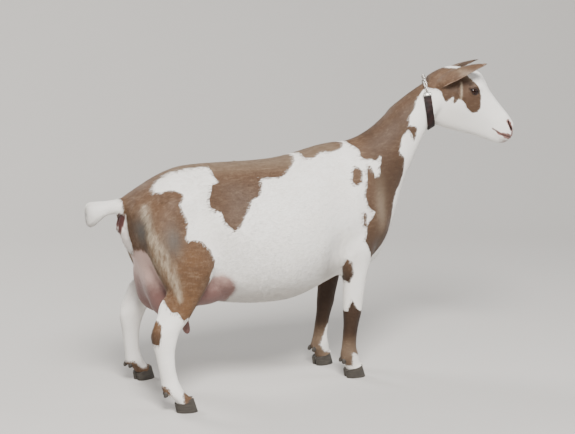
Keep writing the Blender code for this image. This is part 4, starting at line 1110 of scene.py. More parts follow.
def ventPlan(points):
    # the vent's dark oval, and the band of pale, nearly bare skin round and under it
    x, y, z = points.T
    behind = ramp(-x, 0.318, 0.330) * ramp(0.352 + x, 0, 0.003) * ramp(z, 0.30, 0.34)
    oval = np.hypot(y / 0.0190, (z - 0.393) / 0.030)
    vent = behind * (1 - ramp(oval + 0.12 * smooth3(points, 300, 12), 0.82, 1.12))
    return vent, behind * (1 - ramp(np.abs(y), 0.024, 0.031)) * ramp(0.418 - z, 0, 0.006)


def brownPatches(points, local, onHead, band):
    # signed depth in the brown patches; belly, tail and the band under the vent are white
    x, y, z = points.T
    middle = np.interp(x, [0.21, 0.262, 0.302, 0.339, 0.376, 0.41],
                       [0, -0.004, -0.010, -0.018, -0.026, -0.033])
    flat = points[:, [0, 2]] + 0.0016 * np.stack([smooth3(points, 90, 5), smooth3(points, 90, 6)], -1)
    sides = [np.max([outlineDepth(flat, outline) for outline in marks[word]], axis=0) for word in marks]
    patch = blend(*sides, ramp(y - middle, -0.006, 0.006))
    belly = ramp(0.262 - z, 0, 0.008) * ramp(0.038 - np.abs(y), 0, 0.006) * ramp(z, 0.175, 0.182)
    patch = blend(patch, -0.02, belly)
    cheek = outlineDepth(local[:, [0, 2]] + [0.003, 0.002] * (local[:, 1:2] > 0), cheekMark)
    patch = blend(patch, cheek, onHead)
    patch = np.where(earShare(points) > 0.02, 0.02, patch)
    patch = blend(patch, -0.03, ramp(-x, 0.338, 0.346) * ramp(z, 0.385, 0.39))
    return patch - (patch + 0.006) * band


def hairTones(points, local, onHead):
    # warmth, darkness, paleness, the clipped grey, and the white greyed by thin hair over pink skin and by
    # painted shade under the belly and behind the elbows
    x, y, z = points.T
    warm = ramp(-x, 0.16, 0.24) * ramp(0.40 - z, 0, 0.08) * ramp(z, 0.12, 0.2)
    warm = np.maximum(warm, 0.4 * ramp(-x, 0.10, 0.28))
    saddle = ramp(0.49 - z, 0, 0.03) * ramp(x, -0.19, -0.16) * ramp(0.06 - x, 0, 0.03) * ramp(z, 0.33, 0.36)
    deep = 0.45 * ramp(x, 0.215, 0.250) * (1 - onHead) * (1 - 0.60 * ramp(z - 0.62 * x, 0.385, 0.425))
    for centre, reach, strength in spots["deep"]:
        deep += strength * blob(points, centre, reach)
    deep += 0.35 * saddle
    deep += ramp(0.28 - z, 0, 0.05) * ramp(z, 0.060, 0.115) * (x > 0)
    deep += 0.5 * ramp(0.18 - z, 0, 0.02) * (x < 0) * ramp(z, 0.10, 0.13)
    deep = np.maximum(deep, 0.40 * onHead * (earShare(points) == 0) * ramp(local[:, 0], -0.03, 0.01))
    # darker round the eyes and most above them: partly the hair's own dark, partly painted shade under the
    # brow
    for gap, above, _ in eyeShape(points):
        lids = 1 - ramp(gap, 0.0030, 0.0090 + 0.002 * (above < 0))
        deep = np.maximum(deep, lids * (0.45 + 0.55 * ramp(local[:, 2], 0.036, 0.046)))
    for along, up, wide, tall, strength in cheekSpots:
        spot = np.exp(-(((local[:, 0] - along) / wide) ** 2) - ((local[:, 2] - up) / tall) ** 2)
        deep = np.maximum(deep, strength * spot * onHead * (0.8 + 0.4 * smooth3(points, 420, 21)))
    pale = strongest(0.18 * ramp(0.105 - z, 0, 0.04) * (x > 0),
                   0.22 * ramp(z, 0.478, 0.500) * ramp(0.20 - x, 0, 0.05),
                   0.35 * blob(points, (0.250, 0, 0.390), (0.014, 1, 0.055)))
    streak = 0.95 + 0.8 * smooth3(points * [1.0, 1.0, 0.20], 520, 14)
    for side in (-1, 1):
        gap, share = pathDistance(points, thighStreak * [1, side, 1])
        wide = 0.0045 + 0.0085 * np.sin(math.pi * np.clip(share * 0.9 + 0.05, 0, 1))
        fan = 0.55 * blob(points, (-0.302, side * 0.095, 0.318), (0.024, 0.030, 0.048))
        pale = strongest(pale, bell(gap, wide) * streak, fan * streak)
    gap = pathDistance(local[:, [0, 2]], cheekStreak)[0]
    pale = np.maximum(pale, 0.85 * bell(gap, 0.0022) * onHead)
    pale = np.maximum(pale, 0.45 * blob(local * [1, 0, 1], (0.030, 0, 0.070), (0.030, 1, 0.009)) * onHead)
    # the belly's underside greyed: partly thin hair, partly painted shade
    thin = 0.55 * ramp(0.255 - z, 0, 0.05) * ramp(z, 0.17, 0.19) * ramp(0.15 - np.abs(x + 0.02), 0, 0.05)
    face = 0.75 * onHead * ramp(local[:, 0] - 0.8 * local[:, 2], 0.125, 0.190)
    thin = strongest(thin, face, spotted(points, "thin"))
    return {"warm": warm, "deep": deep, "pale": pale, "shaved": spotted(points, "shaved"), "thin": thin}


def muzzleSkin(points, local):
    # share of nose leather: the plate, the chin, the lips and a rim round each nostril
    gapMouth = pathDistance(points, mouthLine[::2])[0]
    wander = 0.0025 * smooth3(points, 260, 8)
    low = np.clip((0.004 - local[:, 2]) / 0.02, -0.6, 1.2)
    plate = np.linalg.norm((local - [0.1905, 0, -0.007]) / [0.0145, 0.0180, 0.0180], axis=1)
    plate = plate + 0.18 * low + wander * 60
    chin = np.linalg.norm((local - [0.178, 0, -0.028]) / [0.024, 0.018, 0.011], axis=1) + wander * 40
    ahead = ramp(local[:, 0], 0.138, 0.180)
    lip = 1 - ramp((gapMouth + wander) / (0.0026 + 0.0064 * ahead), 0.25, 1.15)
    muzzle = strongest(0.85 * (1 - ramp(plate, 0.70, 1.50)), 0.56 * (1 - ramp(chin, 0.5, 1.4)),
                     lip * (0.55 + 0.4 * ahead))
    # painted shade along the mouth's line and, below, inside each nostril
    lidEdgeAndHollowShade = 0.95 * bell(gapMouth, 0.0013)
    for path, side in zip(nostrilPaths, (-1, 1)):
        inward = -headAxes @ unit(np.array([0.55, side * 0.80, 0.10]))
        gap = np.minimum.reduce([pathDistance(points, path + inward * sunk)[0]
                                 for sunk in (0, 0.002, 0.004, 0.006)])
        lidEdgeAndHollowShade = np.maximum(lidEdgeAndHollowShade, 1 - ramp(gap, 0.0019, 0.0031))
        muzzle = np.maximum(muzzle, 0.9 * (1 - ramp(gap + 0.0012 * smooth3(points, 500, 9), 0.0022, 0.0085)))
    return muzzle, lidEdgeAndHollowShade


def hollowShadeAndLidEdges(points, lidEdgeAndHollowShade):
    # painted shade in the vent's pit and cleft and at the lid edges, laid over the painted shade of nostrils
    # and mouth; the lid edges are partly their own dark skin
    x, y, z = points.T
    hole = np.hypot(y, (z - 0.4165) * 1.1) + (x > -0.31)
    cleft = bell(y, 0.0016) * (x < -0.33) * ramp(z, 0.368, 0.374) * ramp(0.408 - z, 0, 0.004)
    lids = [1 - ramp(gap, 0.0009, 0.0022) for gap, _, _ in eyeShape(points)]
    return strongest(lidEdgeAndHollowShade, *lids, 0.9 * bell(hole, 0.004), 0.8 * cleft)


def bareSkin(points):
    # udder, the furrow behind it, flank folds and groin
    x, y, z = points.T
    furrow = ramp(-x, 0.225, 0.240) * ramp(0.030 - np.abs(y), 0, 0.006)
    furrow = furrow * ramp(z, 0.185, 0.195) * ramp(0.330 - z, 0, 0.02)
    bare = strongest(udderNear(points), furrow, spotted(points, "bare"))
    return np.clip(bare, 0, 1) * ramp(0.36 - z, 0, 0.03)


def markings(points, normals):
    # every marking and every painted shade as a number at each point, one attribute each
    local = toHead(points)
    onHead = ramp(local[:, 0], -0.052, -0.040) * ramp(points[:, 2], 0.56, 0.58)
    vent, band = ventPlan(points)
    muzzle, lidEdgeAndHollowShade = muzzleSkin(points, local)
    layers = hairTones(points, local, onHead)
    layers["bare"] = strongest(bareSkin(points), 0.42 * band, muzzle, vent)
    layers["lidEdgeAndHollowShade"] = hollowShadeAndLidEdges(points, lidEdgeAndHollowShade)
    for name in ("deep", "pale", "shaved", "bare", "lidEdgeAndHollowShade"):
        layers[name] = np.clip(layers[name], 0, 1)
    layers["patch"] = brownPatches(points, local, onHead, band)
    return layers | {"vent": vent, "muzzle": muzzle, "cup": earCup(points, normals)}


skinPoints, skinNormals, skinTris = pointsOf(goatSkin.data), normalsOf(goatSkin.data), trisOf(goatSkin.data)
skinMarks = markings(skinPoints, skinNormals)
whole = np.ones(len(skinPoints))
for name, values in (skinMarks | {"lot": 0.35 * whole, "tip": 0 * whole}).items():
    attribute(goatSkin, name, values)
print("markings drawn")


# Shader tools: Wire lets sums and products of sockets be written as sums and products

class Wire:
    def __init__(self, look, socket):
        self.look, self.socket = look, socket

    def math(self, operation, one, two=0.0, clamp=False):
        settings = {"operation": operation, "use_clamp": clamp}
        return self.look.node("ShaderNodeMath", settings, {0: one, 1: two})

    def __add__(self, other):
        return self.math("ADD", self, other)

    def __sub__(self, other):
        return self.math("SUBTRACT", self, other)

    def __rsub__(self, other):
        return self.math("SUBTRACT", other, self)

    def __mul__(self, other):
        return self.math("MULTIPLY", self, other)

    def __truediv__(self, other):
        return self.math("DIVIDE", self, other)

    __radd__, __rmul__ = __add__, __mul__

    def clamp(self):
        return self.math("ADD", self, 0.0, clamp=True)

    def power(self, exponent):
        return self.math("POWER", self, exponent)

class Look:
    # one material: node() adds any node, its settings first, then values or links of its sockets
    def __init__(self, name):
        self.material = bpy.data.materials.new(name)
        self.material.use_nodes = True
        self.tree = self.material.node_tree
        self.tree.nodes.clear()
        self.shader = self.tree.nodes.new("ShaderNodeBsdfPrincipled")
        out = self.tree.nodes.new("ShaderNodeOutputMaterial")
        self.tree.links.new(self.shader.outputs[0], out.inputs[0])

    def plug(self, target, value):
        if isinstance(value, Wire):
            self.tree.links.new(value.socket, target)
        elif isinstance(value, (tuple, list)) and len(value) == 3 and target.type == "RGBA":
            target.default_value = (*value, 1.0)
        else:
            target.default_value = value

    def node(self, kind, settings=None, sockets=None, out=0):
        made = self.tree.nodes.new(kind)
        for key, value in (settings or {}).items():
            setattr(made, key, value)
        for key, value in (sockets or {}).items():
            self.plug(made.inputs[key], value)
        return Wire(self, made.outputs[out])

    def number(self, name):
        return self.node("ShaderNodeAttribute", {"attribute_name": name}, out="Fac")

    def place(self):
        return self.node("ShaderNodeTexCoord", out="Object")

    def noise(self, scale, detail=2.0, rough=0.5):
        # a scale of three numbers draws the noise out, finer along the axes with the greater numbers
        place = self.place()
        if isinstance(scale, tuple):
            place, scale = self.node("ShaderNodeMapping", {}, {"Vector": place, "Scale": scale}), 1.0
        return self.node("ShaderNodeTexNoise", {}, {"Vector": place, "Scale": scale, "Detail": detail,
                                                    "Roughness": rough}, out="Fac")

    def mix(self, share, one, two, blend="MIX"):
        # colours: sockets 6 and 7 of the Mix node, result in output 2
        return self.node("ShaderNodeMix", {"data_type": "RGBA", "blend_type": blend, "clamp_factor": True},
                         {0: share, 6: one, 7: two}, out=2)

    def step(self, value, low, high):
        return self.node("ShaderNodeMapRange", {"interpolation_type": "SMOOTHSTEP"},
                         {"Value": value, "From Min": low, "From Max": high})

    def bump(self, height, strength, distance):
        return self.node("ShaderNodeBump", {}, {"Height": height, "Strength": strength,
                                                "Distance": distance})

    def finish(self, **sockets):
        names = {"colour": "Base Color", "rough": "Roughness", "metal": "Metallic", "normal": "Normal",
                 "coat": "Coat Weight", "sheen": "Sheen Weight", "specular": "Specular IOR Level",
                 "sheenRough": "Sheen Roughness", "coatRough": "Coat Roughness"}
        for key, value in sockets.items():
            self.plug(self.shader.inputs[names[key]], value)
        return self.material


coatColours = {
    "white": (0.84, 0.82, 0.785), "ivory": (0.77, 0.73, 0.665), "shade": (0.40, 0.365, 0.325),
    "cream": (0.40, 0.330, 0.240), "brown": (0.108, 0.060, 0.034), "warm": (0.132, 0.066, 0.029),
    "umber": (0.070, 0.036, 0.020), "sand": (0.215, 0.145, 0.092), "deep": (0.034, 0.017, 0.009),
    # udder and udderShade: the udder's skin lit, and the same skin in painted shade low down
    "grey": (0.080, 0.072, 0.064), "udder": (0.52, 0.355, 0.310), "udderShade": (0.165, 0.085, 0.075),
    "vent": (0.060, 0.022, 0.020), "nose": (0.150, 0.080, 0.068), "rosy": (0.310, 0.170, 0.150),
    # first the colour of the painted shade in hollows and at the lid edges, then the ears' hollow side
    "lidEdgeAndHollowShade": (0.012, 0.007, 0.006), "cup": (0.40, 0.27, 0.20),
}


def coatLook():
    # hair and skin share it: a patch's edge is its depth attribute, roughened tuft by tuft and by noise
    look = Look("short_coat")
    c = coatColours
    lot, tip = look.number("lot"), look.number("tip")
    broad, mid, fine = look.noise(16.0, 3.0), look.noise(85.0, 3.0), look.noise(420.0, 2.0)
    hairs = look.noise((170.0, 900.0, 620.0), 2.0, 0.6)
    streaks = look.noise((42.0, 230.0, 170.0), 3.0, 0.6)
    white = look.mix(look.step(broad, 0.38, 0.75) * 0.30, c["white"], c["ivory"])
    # the white greyed where the hair is thin, and by painted shade under the belly and behind the elbows
    white = look.mix((look.number("thin") * (0.75 + 0.5 * mid)).clamp(), white, c["shade"])
    white = look.mix(look.step(lot, 0.80, 1.0) * 0.12, white, c["shade"])
    brown = look.mix(look.number("warm"), c["brown"], c["warm"])
    for share, tone in (
        (look.step(broad, 0.40, 0.70) * 0.40, "umber"),
        (look.step(mid + (lot - 0.5) * 0.3, 0.46, 0.76) * 0.35, "sand"),
        (look.step(hairs, 0.42, 0.75) * 0.22, "umber"),
        (look.step(streaks, 0.50, 0.72) * 0.45, "sand"),
        (look.step(1 - streaks, 0.52, 0.72) * 0.50, "umber"),
        ((look.number("deep") * (0.75 + 0.5 * mid)).clamp(), "deep"),
        ((look.number("pale") * (0.70 + 0.5 * lot)).clamp(), "cream"),
        (tip * 0.12, "sand"),
        (look.number("cup") * 0.60, "cup"),
    ):
        brown = look.mix(share, brown, c[tone])
    edge = look.number("patch") * 1000.0 + (mid - 0.5) * 5.0 + (lot - 0.5) * 5.5 + (hairs - 0.5) * 3.5
    colour = look.mix(look.step(edge, -0.9, 0.9), white, brown)
    colour = look.mix((look.number("shaved") * (1.0 + 0.5 * (fine - 0.5))).clamp(), colour, c["grey"])
    # bare skin: the udder darker low down as painted shade, nose leather, vent
    height = look.node("ShaderNodeSeparateXYZ", {}, {0: look.place()}, out=2)
    low = look.step(mid * 0.4 + broad * 0.7 - (height - 0.272) * 13.0, 0.25, 1.05)
    rosy = look.mix(look.step(mid + (fine - 0.5) * 0.3, 0.40, 0.66), c["nose"], c["rosy"])
    pink = look.mix((look.number("muzzle") * 2.5).clamp(), look.mix(low, c["udder"], c["udderShade"]), rosy)
    pink = look.mix(look.number("vent"), pink, c["vent"])
    bare = look.number("bare")
    colour = look.mix(look.step(bare + (fine - 0.5) * 0.16 + (mid - 0.5) * 0.12, 0.26, 0.70), colour, pink)
    # painted shade in the mouth's line, nostrils and vent, and the dark of the lid edges
    colour = look.mix(look.number("lidEdgeAndHollowShade"), colour, c["lidEdgeAndHollowShade"])
    shade = (lot - 0.5) * 0.10 + 0.99
    shade = look.node("ShaderNodeCombineColor", {}, {0: shade, 1: shade, 2: shade})
    colour = look.mix(1.0, colour, shade, blend="MULTIPLY")
    relief = hairs * (1 - bare * 0.85) + look.noise(1500.0, 1.0) * bare * 0.6 + broad * 0.25
    return look.finish(colour=colour, rough=0.60 - 0.14 * bare - 0.12 * look.number("muzzle"),
                       normal=look.bump(relief, 0.30, 0.0012), sheen=0.10, sheenRough=0.4, specular=0.30)


coatMaterial = coatLook()


# Coat: closed tapered tufts of three sides, lying along the body

coatPlan = {
    "short": 230000, "long": 34000, "quickShare": 0.25,
    "lift": math.radians(7.5), "longLift": math.radians(15.0),
    "widthShare": 0.135, "thickShare": 0.30, "perPiece": 160000,
}


def lieOfCoat(points, local):
    # the way the hair lies: back along the barrel, down neck and limbs, from nose to poll, out along ears
    x, y, z = points.T
    count = len(points)
    flow = np.tile([-1.0, 0.0, -0.28], (count, 1))
    flow += ramp(-x, 0.20, 0.32)[:, None] * np.array([0.35, 0, -0.9])
    flow += (ramp(0.42 - z, 0, 0.1) * ramp(-x, 0.12, 0.2))[:, None] * np.array([0.45, 0, -0.8])
    flow[:, 2] -= 0.25 * ramp(0.36 - z, 0, 0.1)
    neck = smoothRows(bodyPlan["neck"], 60)
    middle = np.stack([(neck[:, 0] + neck[:, 2]) / 2, neck[:, 5], (neck[:, 1] + neck[:, 3]) / 2], -1)
    down = -unit(np.gradient(middle, axis=0))
    guide = np.stack([np.interp(x, middle[:, 0], down[:, k]) for k in range(3)], -1)
    flow = blend(flow, guide, ramp(x + 0.35 * z, 0.33, 0.45)[:, None])
    leg = (ramp(0.31 - z, 0, 0.06) * np.maximum(ramp(x, 0.10, 0.13), ramp(-x, 0.14, 0.20)))[:, None]
    flow = blend(flow, np.array([-0.10, 0, -1.0]), leg * ramp(np.abs(y), 0.018, 0.030)[:, None])
    back = np.stack([np.full(count, -1.0), 0.25 * np.sign(local[:, 1]) * ramp(np.abs(local[:, 1]), 0, 0.02),
                     -0.30 * ramp(0.03 - local[:, 2], -0.02, 0.03)], -1)
    flow = blend(flow, back @ headAxes.T, ramp(local[:, 0], -0.050, -0.020)[:, None])
    tail = ramp(-x, 0.340, 0.352) * ramp(z, 0.38, 0.385)
    flow = blend(flow, np.array([-1.0, 0, -0.45]), tail[:, None])
    for side in (-1, 1):
        flow[(earShare(points) > 0) & (np.sign(local[:, 1]) == side)] = earFrame(side)[2]
    return flow


def tuftLength(points, local):
    # longest on the tail and behind the thighs, shorter on the limbs, shortest on face, feet and ears
    x, y, z = points.T
    size = 0.0096 + 0.0024 * ramp(-x, 0.26, 0.31) * ramp(0.42 - z, 0, 0.05)
    size = size + 0.0015 * ramp(0.24 - z, 0, 0.04)
    limbs = np.maximum(ramp(x, 0.10, 0.14), ramp(-x, 0.15, 0.20))
    size = blend(size, 0.0066, ramp(0.30 - z, 0, 0.10) * limbs * ramp(np.abs(y), 0.02, 0.03))
    size -= 0.0016 * ramp(0.07 - z, 0, 0.03)
    size = blend(size, 0.0046, ramp(local[:, 0], -0.06, -0.01))
    size -= 0.0018 * ramp(local[:, 0], 0.13, 0.18)
    for gap, _, _ in eyeShape(points):
        size *= 0.55 + 0.45 * ramp(gap, 0.004, 0.016)
    size = blend(size, 0.0130, ramp(-x, 0.345, 0.41) * ramp(z, 0.38, 0.385))
    size *= 1 - 0.50 * ramp(-x, 0.388, 0.412)
    return np.where(earShare(points) > 0, 0.0044, size)


def turnShare(across, up):
    # the turn round an axis as a share of the whole, 0.5 straight up
    return np.arctan2(across, up) / (2 * math.pi) + 0.5


def skinUnwrap(points, local, hollow):
    # region by region: turn about the part's own middle across, distance along it upwards
    x, y, z = points.T
    middleZ = np.interp(x, [-0.35, 0.15, 0.22, 0.30, 0.36, 0.44], [0.36, 0.36, 0.42, 0.50, 0.575, 0.63])
    middleY = np.interp(x, [0.21, 0.302, 0.376, 0.44], [0, -0.010, -0.026, -0.040])
    around = turnShare(y - middleY, z - middleZ)
    place = np.stack([0.01 + 0.60 * (x + 0.36) / 0.82, 0.01 + 0.53 * around], -1)

    def put(mine, u, v):
        place[mine] = np.stack(np.broadcast_arrays(u, v), -1)[mine]

    put(local[:, 0] > -0.05, 0.64 + 0.33 * (local[:, 0] + 0.05) / 0.26,
        0.01 + 0.50 * turnShare(local[:, 1], local[:, 2]))
    for slot, (kind, _, foot, _) in enumerate(feet()):
        mine = (z < 0.29) & (y * np.sign(foot[1]) > 0.016) & ((x > 0.09) if kind == "fore" else (x < -0.15))
        back = foot[0] - (0.014 if kind == "fore" else 0.030)
        around = turnShare(y - foot[1] * 0.93, x - back)
        put(mine, 0.01 + 0.155 * slot + 0.145 * around, 0.57 + 0.41 * z / 0.29)
    share = earShare(points)
    for k, side in enumerate((-1, 1)):
        root, _, _, _, wide = earFrame(side)
        across = np.clip((points - root) @ wide / 0.06 + 0.5, 0, 1)
        put((share > 0) & (np.sign(local[:, 1]) == side), 0.64 + 0.17 * k + 0.08 * across + 0.085 * hollow,
            0.54 + 0.30 * share)
    put((x < -0.343) & (z > 0.38), 0.64 + 0.12 * turnShare(y, z - 0.42), 0.87 + 0.12 * (-x - 0.34) / 0.08)
    return np.clip(place, 0.002, 0.998)


def rootWeights(long):
    # where roots may be, by face: none on bare skin, horn, eyes or under the strap; long ones on the tail,
    # the ears' rims, the back of the thighs, the belly's middle and the fetlocks
    tris = skinTris
    middle = skinPoints[tris].mean(1)
    mark = {name: skinMarks[name][tris].mean(1) for name in ("bare", "lidEdgeAndHollowShade", "shaved", "cup")}
    weight = faceArea(skinPoints, tris) / tuftLength(middle, toHead(middle)) ** 1.6
    weight = weight * (1 - ramp(mark["bare"], 0.20, 0.50)) * (1 - ramp(mark["lidEdgeAndHollowShade"], 0.3, 0.5))
    weight *= (middle[:, 2] > 0.014) & ~underCollar(middle)
    weight *= 1 - 0.80 * mark["shaved"]
    for gap, _, _ in eyeShape(middle):
        weight = weight * (gap > 0.0016)
    for _, _, foot, out in feet():
        spot, normal = coronet(foot, out)
        near = np.hypot(middle[:, 0] - foot[0], middle[:, 1] - foot[1]) < 0.045
        over = (middle - spot) @ normal
        weight = weight * ~(near & (over < 0.0010)) * (1 + 3 * near * (over < 0.006))
    x, y, z = middle.T
    fringe = strongest(
        ramp(-x, 0.345, 0.352) * ramp(z, 0.38, 0.385),
        0.30 * ramp(-x, 0.285, 0.315) * ramp(z, 0.24, 0.28),
        0.25 * ramp(0.205 - z, 0, 0.01) * (np.abs(y) < 0.03) * (z > 0.18),
        0.35 * ramp(z, 0.018, 0.024) * ramp(0.062 - z, 0, 0.01),
        0.9 * (earShare(middle) > 0.06) * (1 - np.abs(2 * mark["cup"] - 1)))
    return weight * (fringe if long else 1 - 0.75 * fringe)


def growTufts(long):
    # roots over the skin by weight; each tuft leans out a little and lies along the coat
    weight = rootWeights(long)
    count = coatPlan["long" if long else "short"]
    count = count
    pick = np.sort(dice.choice(len(skinTris), count, p=weight / weight.sum()))
    one, two = dice.random((2, count))
    flip = one + two > 1
    one[flip], two[flip] = 1 - one[flip], 1 - two[flip]
    mixing = np.stack([1 - one - two, one, two], -1)
    corner = skinTris[pick]
    root = (skinPoints[corner] * mixing[..., None]).sum(1)
    normal = unit((skinNormals[corner] * mixing[..., None]).sum(1))
    local = toHead(root)
    flow = unit(lieOfCoat(root, local))
    flow = flow + 0.07 * dice.normal(size=(count, 3))
    flow += 0.12 * np.stack([smooth3(root, 45, k) for k in (1, 2, 3)], -1)
    flow = unit(flow - normal * (flow * normal).sum(1)[:, None])
    aside = np.cross(normal, flow)
    length = tuftLength(root, local) * dice.uniform(0.80, 1.15, count)
    width = np.minimum(length * coatPlan["widthShare"], 0.00125) * dice.uniform(0.8, 1.25, count) / 2
    thick = width * coatPlan["thickShare"] * 2
    lift = coatPlan["longLift" if long else "lift"] * dice.uniform(0.5, 1.3, count)
    base = root - normal * 0.0003
    values = {name: (v[corner] * mixing).sum(1) for name, v in skinMarks.items()}
    values["lot"] = dice.random(count)
    uv = skinUnwrap(root, local, values["cup"])
    # three root corners, for a long tuft three more where it bends, then the tip
    ring = [(-1, -0.35), (1, -0.35), (0, 0.65)]
    points = np.empty((count, 7 if long else 4, 3))
    bend = aside * (dice.normal(size=count) * 0.08)[:, None]
    rise = flow * np.cos(lift)[:, None] + normal * np.sin(lift)[:, None] + bend
    centre = base + rise * (length * 0.45)[:, None]
    for k, (across, up) in enumerate(ring):
        sideways, outwards = aside * (across * width)[:, None], normal * (up * thick)[:, None]
        points[:, k] = base + sideways + outwards
        if long:
            points[:, k + 3] = centre + sideways * 0.85 + outwards * 0.8
    if long:
        ahead = unit(flow + normal * (0.06 * dice.uniform(-1, 1.6, count))[:, None] + 2 * bend)
        points[:, 6] = centre + ahead * (length * 0.55)[:, None]
    else:
        points[:, 3] = base + rise * length[:, None]
    # a tuft is lit like the coat it lies in: its upper faces look along the skin's normal, the lower ahead
    lean = [-0.4 * aside - 0.1 * flow, 0.4 * aside - 0.1 * flow, 0.0, 0.15 * flow]
    looks = [unit(0.9 * flow - 0.35 * normal), -flow] + [unit(normal + way) for way in lean]
    return points, np.stack(looks, 1), values, uv


# By the tuft's count of corners: its faces, which way each face's corners look (0 down, 1 back, 2 left,
# 3 right, 4 up, 5 up and on), each corner's spot on the UV patch and its share towards the tip
tuftForms = {
    4: (np.array([[0, 2, 1], [0, 1, 3], [1, 2, 3], [2, 0, 3]]),
        np.array([[1, 1, 1], [0, 0, 0], [3, 4, 5], [4, 2, 5]]),
        np.array([[-1, -1], [1, -1], [0, 0.4], [0, 1]]) * 0.0015, np.array([0, 0, 0, 1.0])),
    7: (np.array([[0, 2, 1], [0, 1, 4], [0, 4, 3], [1, 2, 5], [1, 5, 4], [2, 0, 3], [2, 3, 5],
                  [3, 4, 6], [4, 5, 6], [5, 3, 6]]),
        np.array([[1, 1, 1], [0, 0, 0], [0, 0, 0], [3, 4, 4], [3, 4, 3], [4, 2, 2], [4, 2, 4],
                  [0, 0, 0], [3, 4, 5], [4, 2, 5]]),
        np.array([[-1, -1], [1, -1], [0, -0.4], [-0.6, 0.2], [0.6, 0.2], [0, 0.5], [0, 1]]) * 0.0015,
        np.array([0, 0, 0, 0.5, 0.5, 0.5, 1.0])),
}


# Collar: a leather strap with metal ends; each spot of it is dropped on the skin towards the neck's middle

collarPlan = {
    # middle of the ring, its turn, its lean, how far the strap reaches round (radians either way from the
    # throat) and how much its ends stand off; then the strap's own sizes
    "at": (0.3915, -0.0280, 0.6200), "turn": math.radians(-26.7), "lean": 0.15, "reach": 1.84,
    "lift": 0.0040, "width": 0.018, "thick": 0.0034, "clear": 0.0006, "stitchStep": 0.0034, "links": 12,
    "leather": (0.0065, 0.0032, 0.0032), "thread": (0.030, 0.014, 0.012), "steel": (0.62, 0.60, 0.57),
}


def collarWays():
    # the collar's axis along the neck and, across it, the ways sideways and down to the throat
    axis = unit(np.array(Matrix.Rotation(collarPlan["turn"], 3, "Z") @ Vector((1, 0, collarPlan["lean"]))))
    across = unit(np.cross([0, 0, 1], axis))
    down = np.cross(across, axis)
    return axis, across, down if down[2] < 0 else -down


def collarRing(offset, count=90):
    # distance of the hair from the collar's middle at each turn, the throat at turn 0
    axis, across, down = collarWays()
    centre = np.array(collarPlan["at"]) + axis * offset
    ways = np.linspace(-math.pi, math.pi, count, endpoint=False)
    reach = []
    for turn in ways:
        way = down * math.cos(turn) + across * math.sin(turn)
        reach.append(np.linalg.norm(hitFrom(collarBody, centre + way * 0.16, -way) - centre))
    reach = np.maximum.reduce([np.roll(reach, k) for k in (-1, 0, 1)])
    return ways, reach


collarTable = {k: collarRing(k * collarPlan["width"] / 2) for k in (-1, 0, 1)}


def collarSpot(turn, share, height):
    # a spot on the collar: turn about the neck, share -1…1 across the strap, height over the hair
    axis, across, down = collarWays()
    turn, share, height = np.broadcast_arrays(turn, share, height)
    wrapped = (turn + math.pi) % (2 * math.pi) - math.pi
    rows = [np.interp(wrapped, *collarTable[k], period=2 * math.pi) for k in (-1, 0, 1)]
    # the leather bridges hollows: no row of the strap lies deeper than this under its neighbour
    drop = 0.45 * collarPlan["width"] / 2
    rows = [np.maximum.reduce([rows[j] - drop * abs(j - k) for j in range(3)]) for k in range(3)]
    reach = np.where(share < 0, blend(rows[1], rows[0], -share), blend(rows[1], rows[2], share))
    far = collarPlan["reach"]
    lift = collarPlan["lift"] * np.clip((np.abs(wrapped) - 1.2) / (far - 1.2), 0, 1) ** 2
    lift = np.where(np.abs(turn) > far + 0.25, 0.0, lift)
    radius = (reach + collarPlan["clear"] + lift + height)[..., None]
    way = down * np.cos(turn)[..., None] + across * np.sin(turn)[..., None]
    middle = np.array(collarPlan["at"]) + axis * (share * collarPlan["width"] / 2)[..., None]
    return middle + way * radius


def underCollar(points):
    # true where the strap or its ends press the coat flat
    axis, across, down = collarWays()
    q = points - np.array(collarPlan["at"])
    turn = np.abs(np.arctan2(q @ across, q @ down))
    return (np.abs(q @ axis) < 0.0082) & (turn < collarPlan["reach"] + 0.17)


def strapSection(count, thick, edge):
    # a flat strap's outline with rounded edges: share across (-1…1) and height over the hair
    turn = turns(count)
    across = np.sign(np.cos(turn)) * np.abs(np.cos(turn)) ** 0.30 * edge
    height = thick / 2 + np.sign(np.sin(turn)) * np.abs(np.sin(turn)) ** 0.55 * thick / 2
    return across, height


def collarStrap():
    # the strap round the throat, open over the nape, with two rows of stitches
    far, thick = collarPlan["reach"], collarPlan["thick"]
    turn = np.linspace(-far - 0.012, far + 0.012, 220)[:, None]
    share, height = strapSection(28, thick, 0.985)
    wear = 0.00012 * np.sin(turn * 31) + 0.00010 * np.sin(turn * 74 + 1)
    grid = collarSpot(turn, share, height + wear * (height > thick / 2))
    strap = closedGrid(grid)
    stitches = []
    # stitches to a row, the neck's mean half width being 58 mm
    count = int(2 * far * 0.058 / collarPlan["stitchStep"])
    for row in (-0.76, 0.76):
        for k in range(count):
            middle = -far + 2 * far * (k + 0.5) / count
            reach = np.linspace(-0.5, 0.5, 5) * 2 * far / count * 0.62
            rise = thick - 0.0003 + 0.00042 * np.cos(np.linspace(-1.5, 1.5, 5))
            stitches.append(tubeGrid(collarSpot(middle + reach, np.full(5, row), rise), [0.00026] * 5, 5))
    made = meshObject("collar_leather_strap", *joined([strap] + stitches))
    thread = np.zeros(len(made.data.vertices))
    thread[len(strap[0]):] = 1.0
    attribute(made, "thread", thread)
    return made


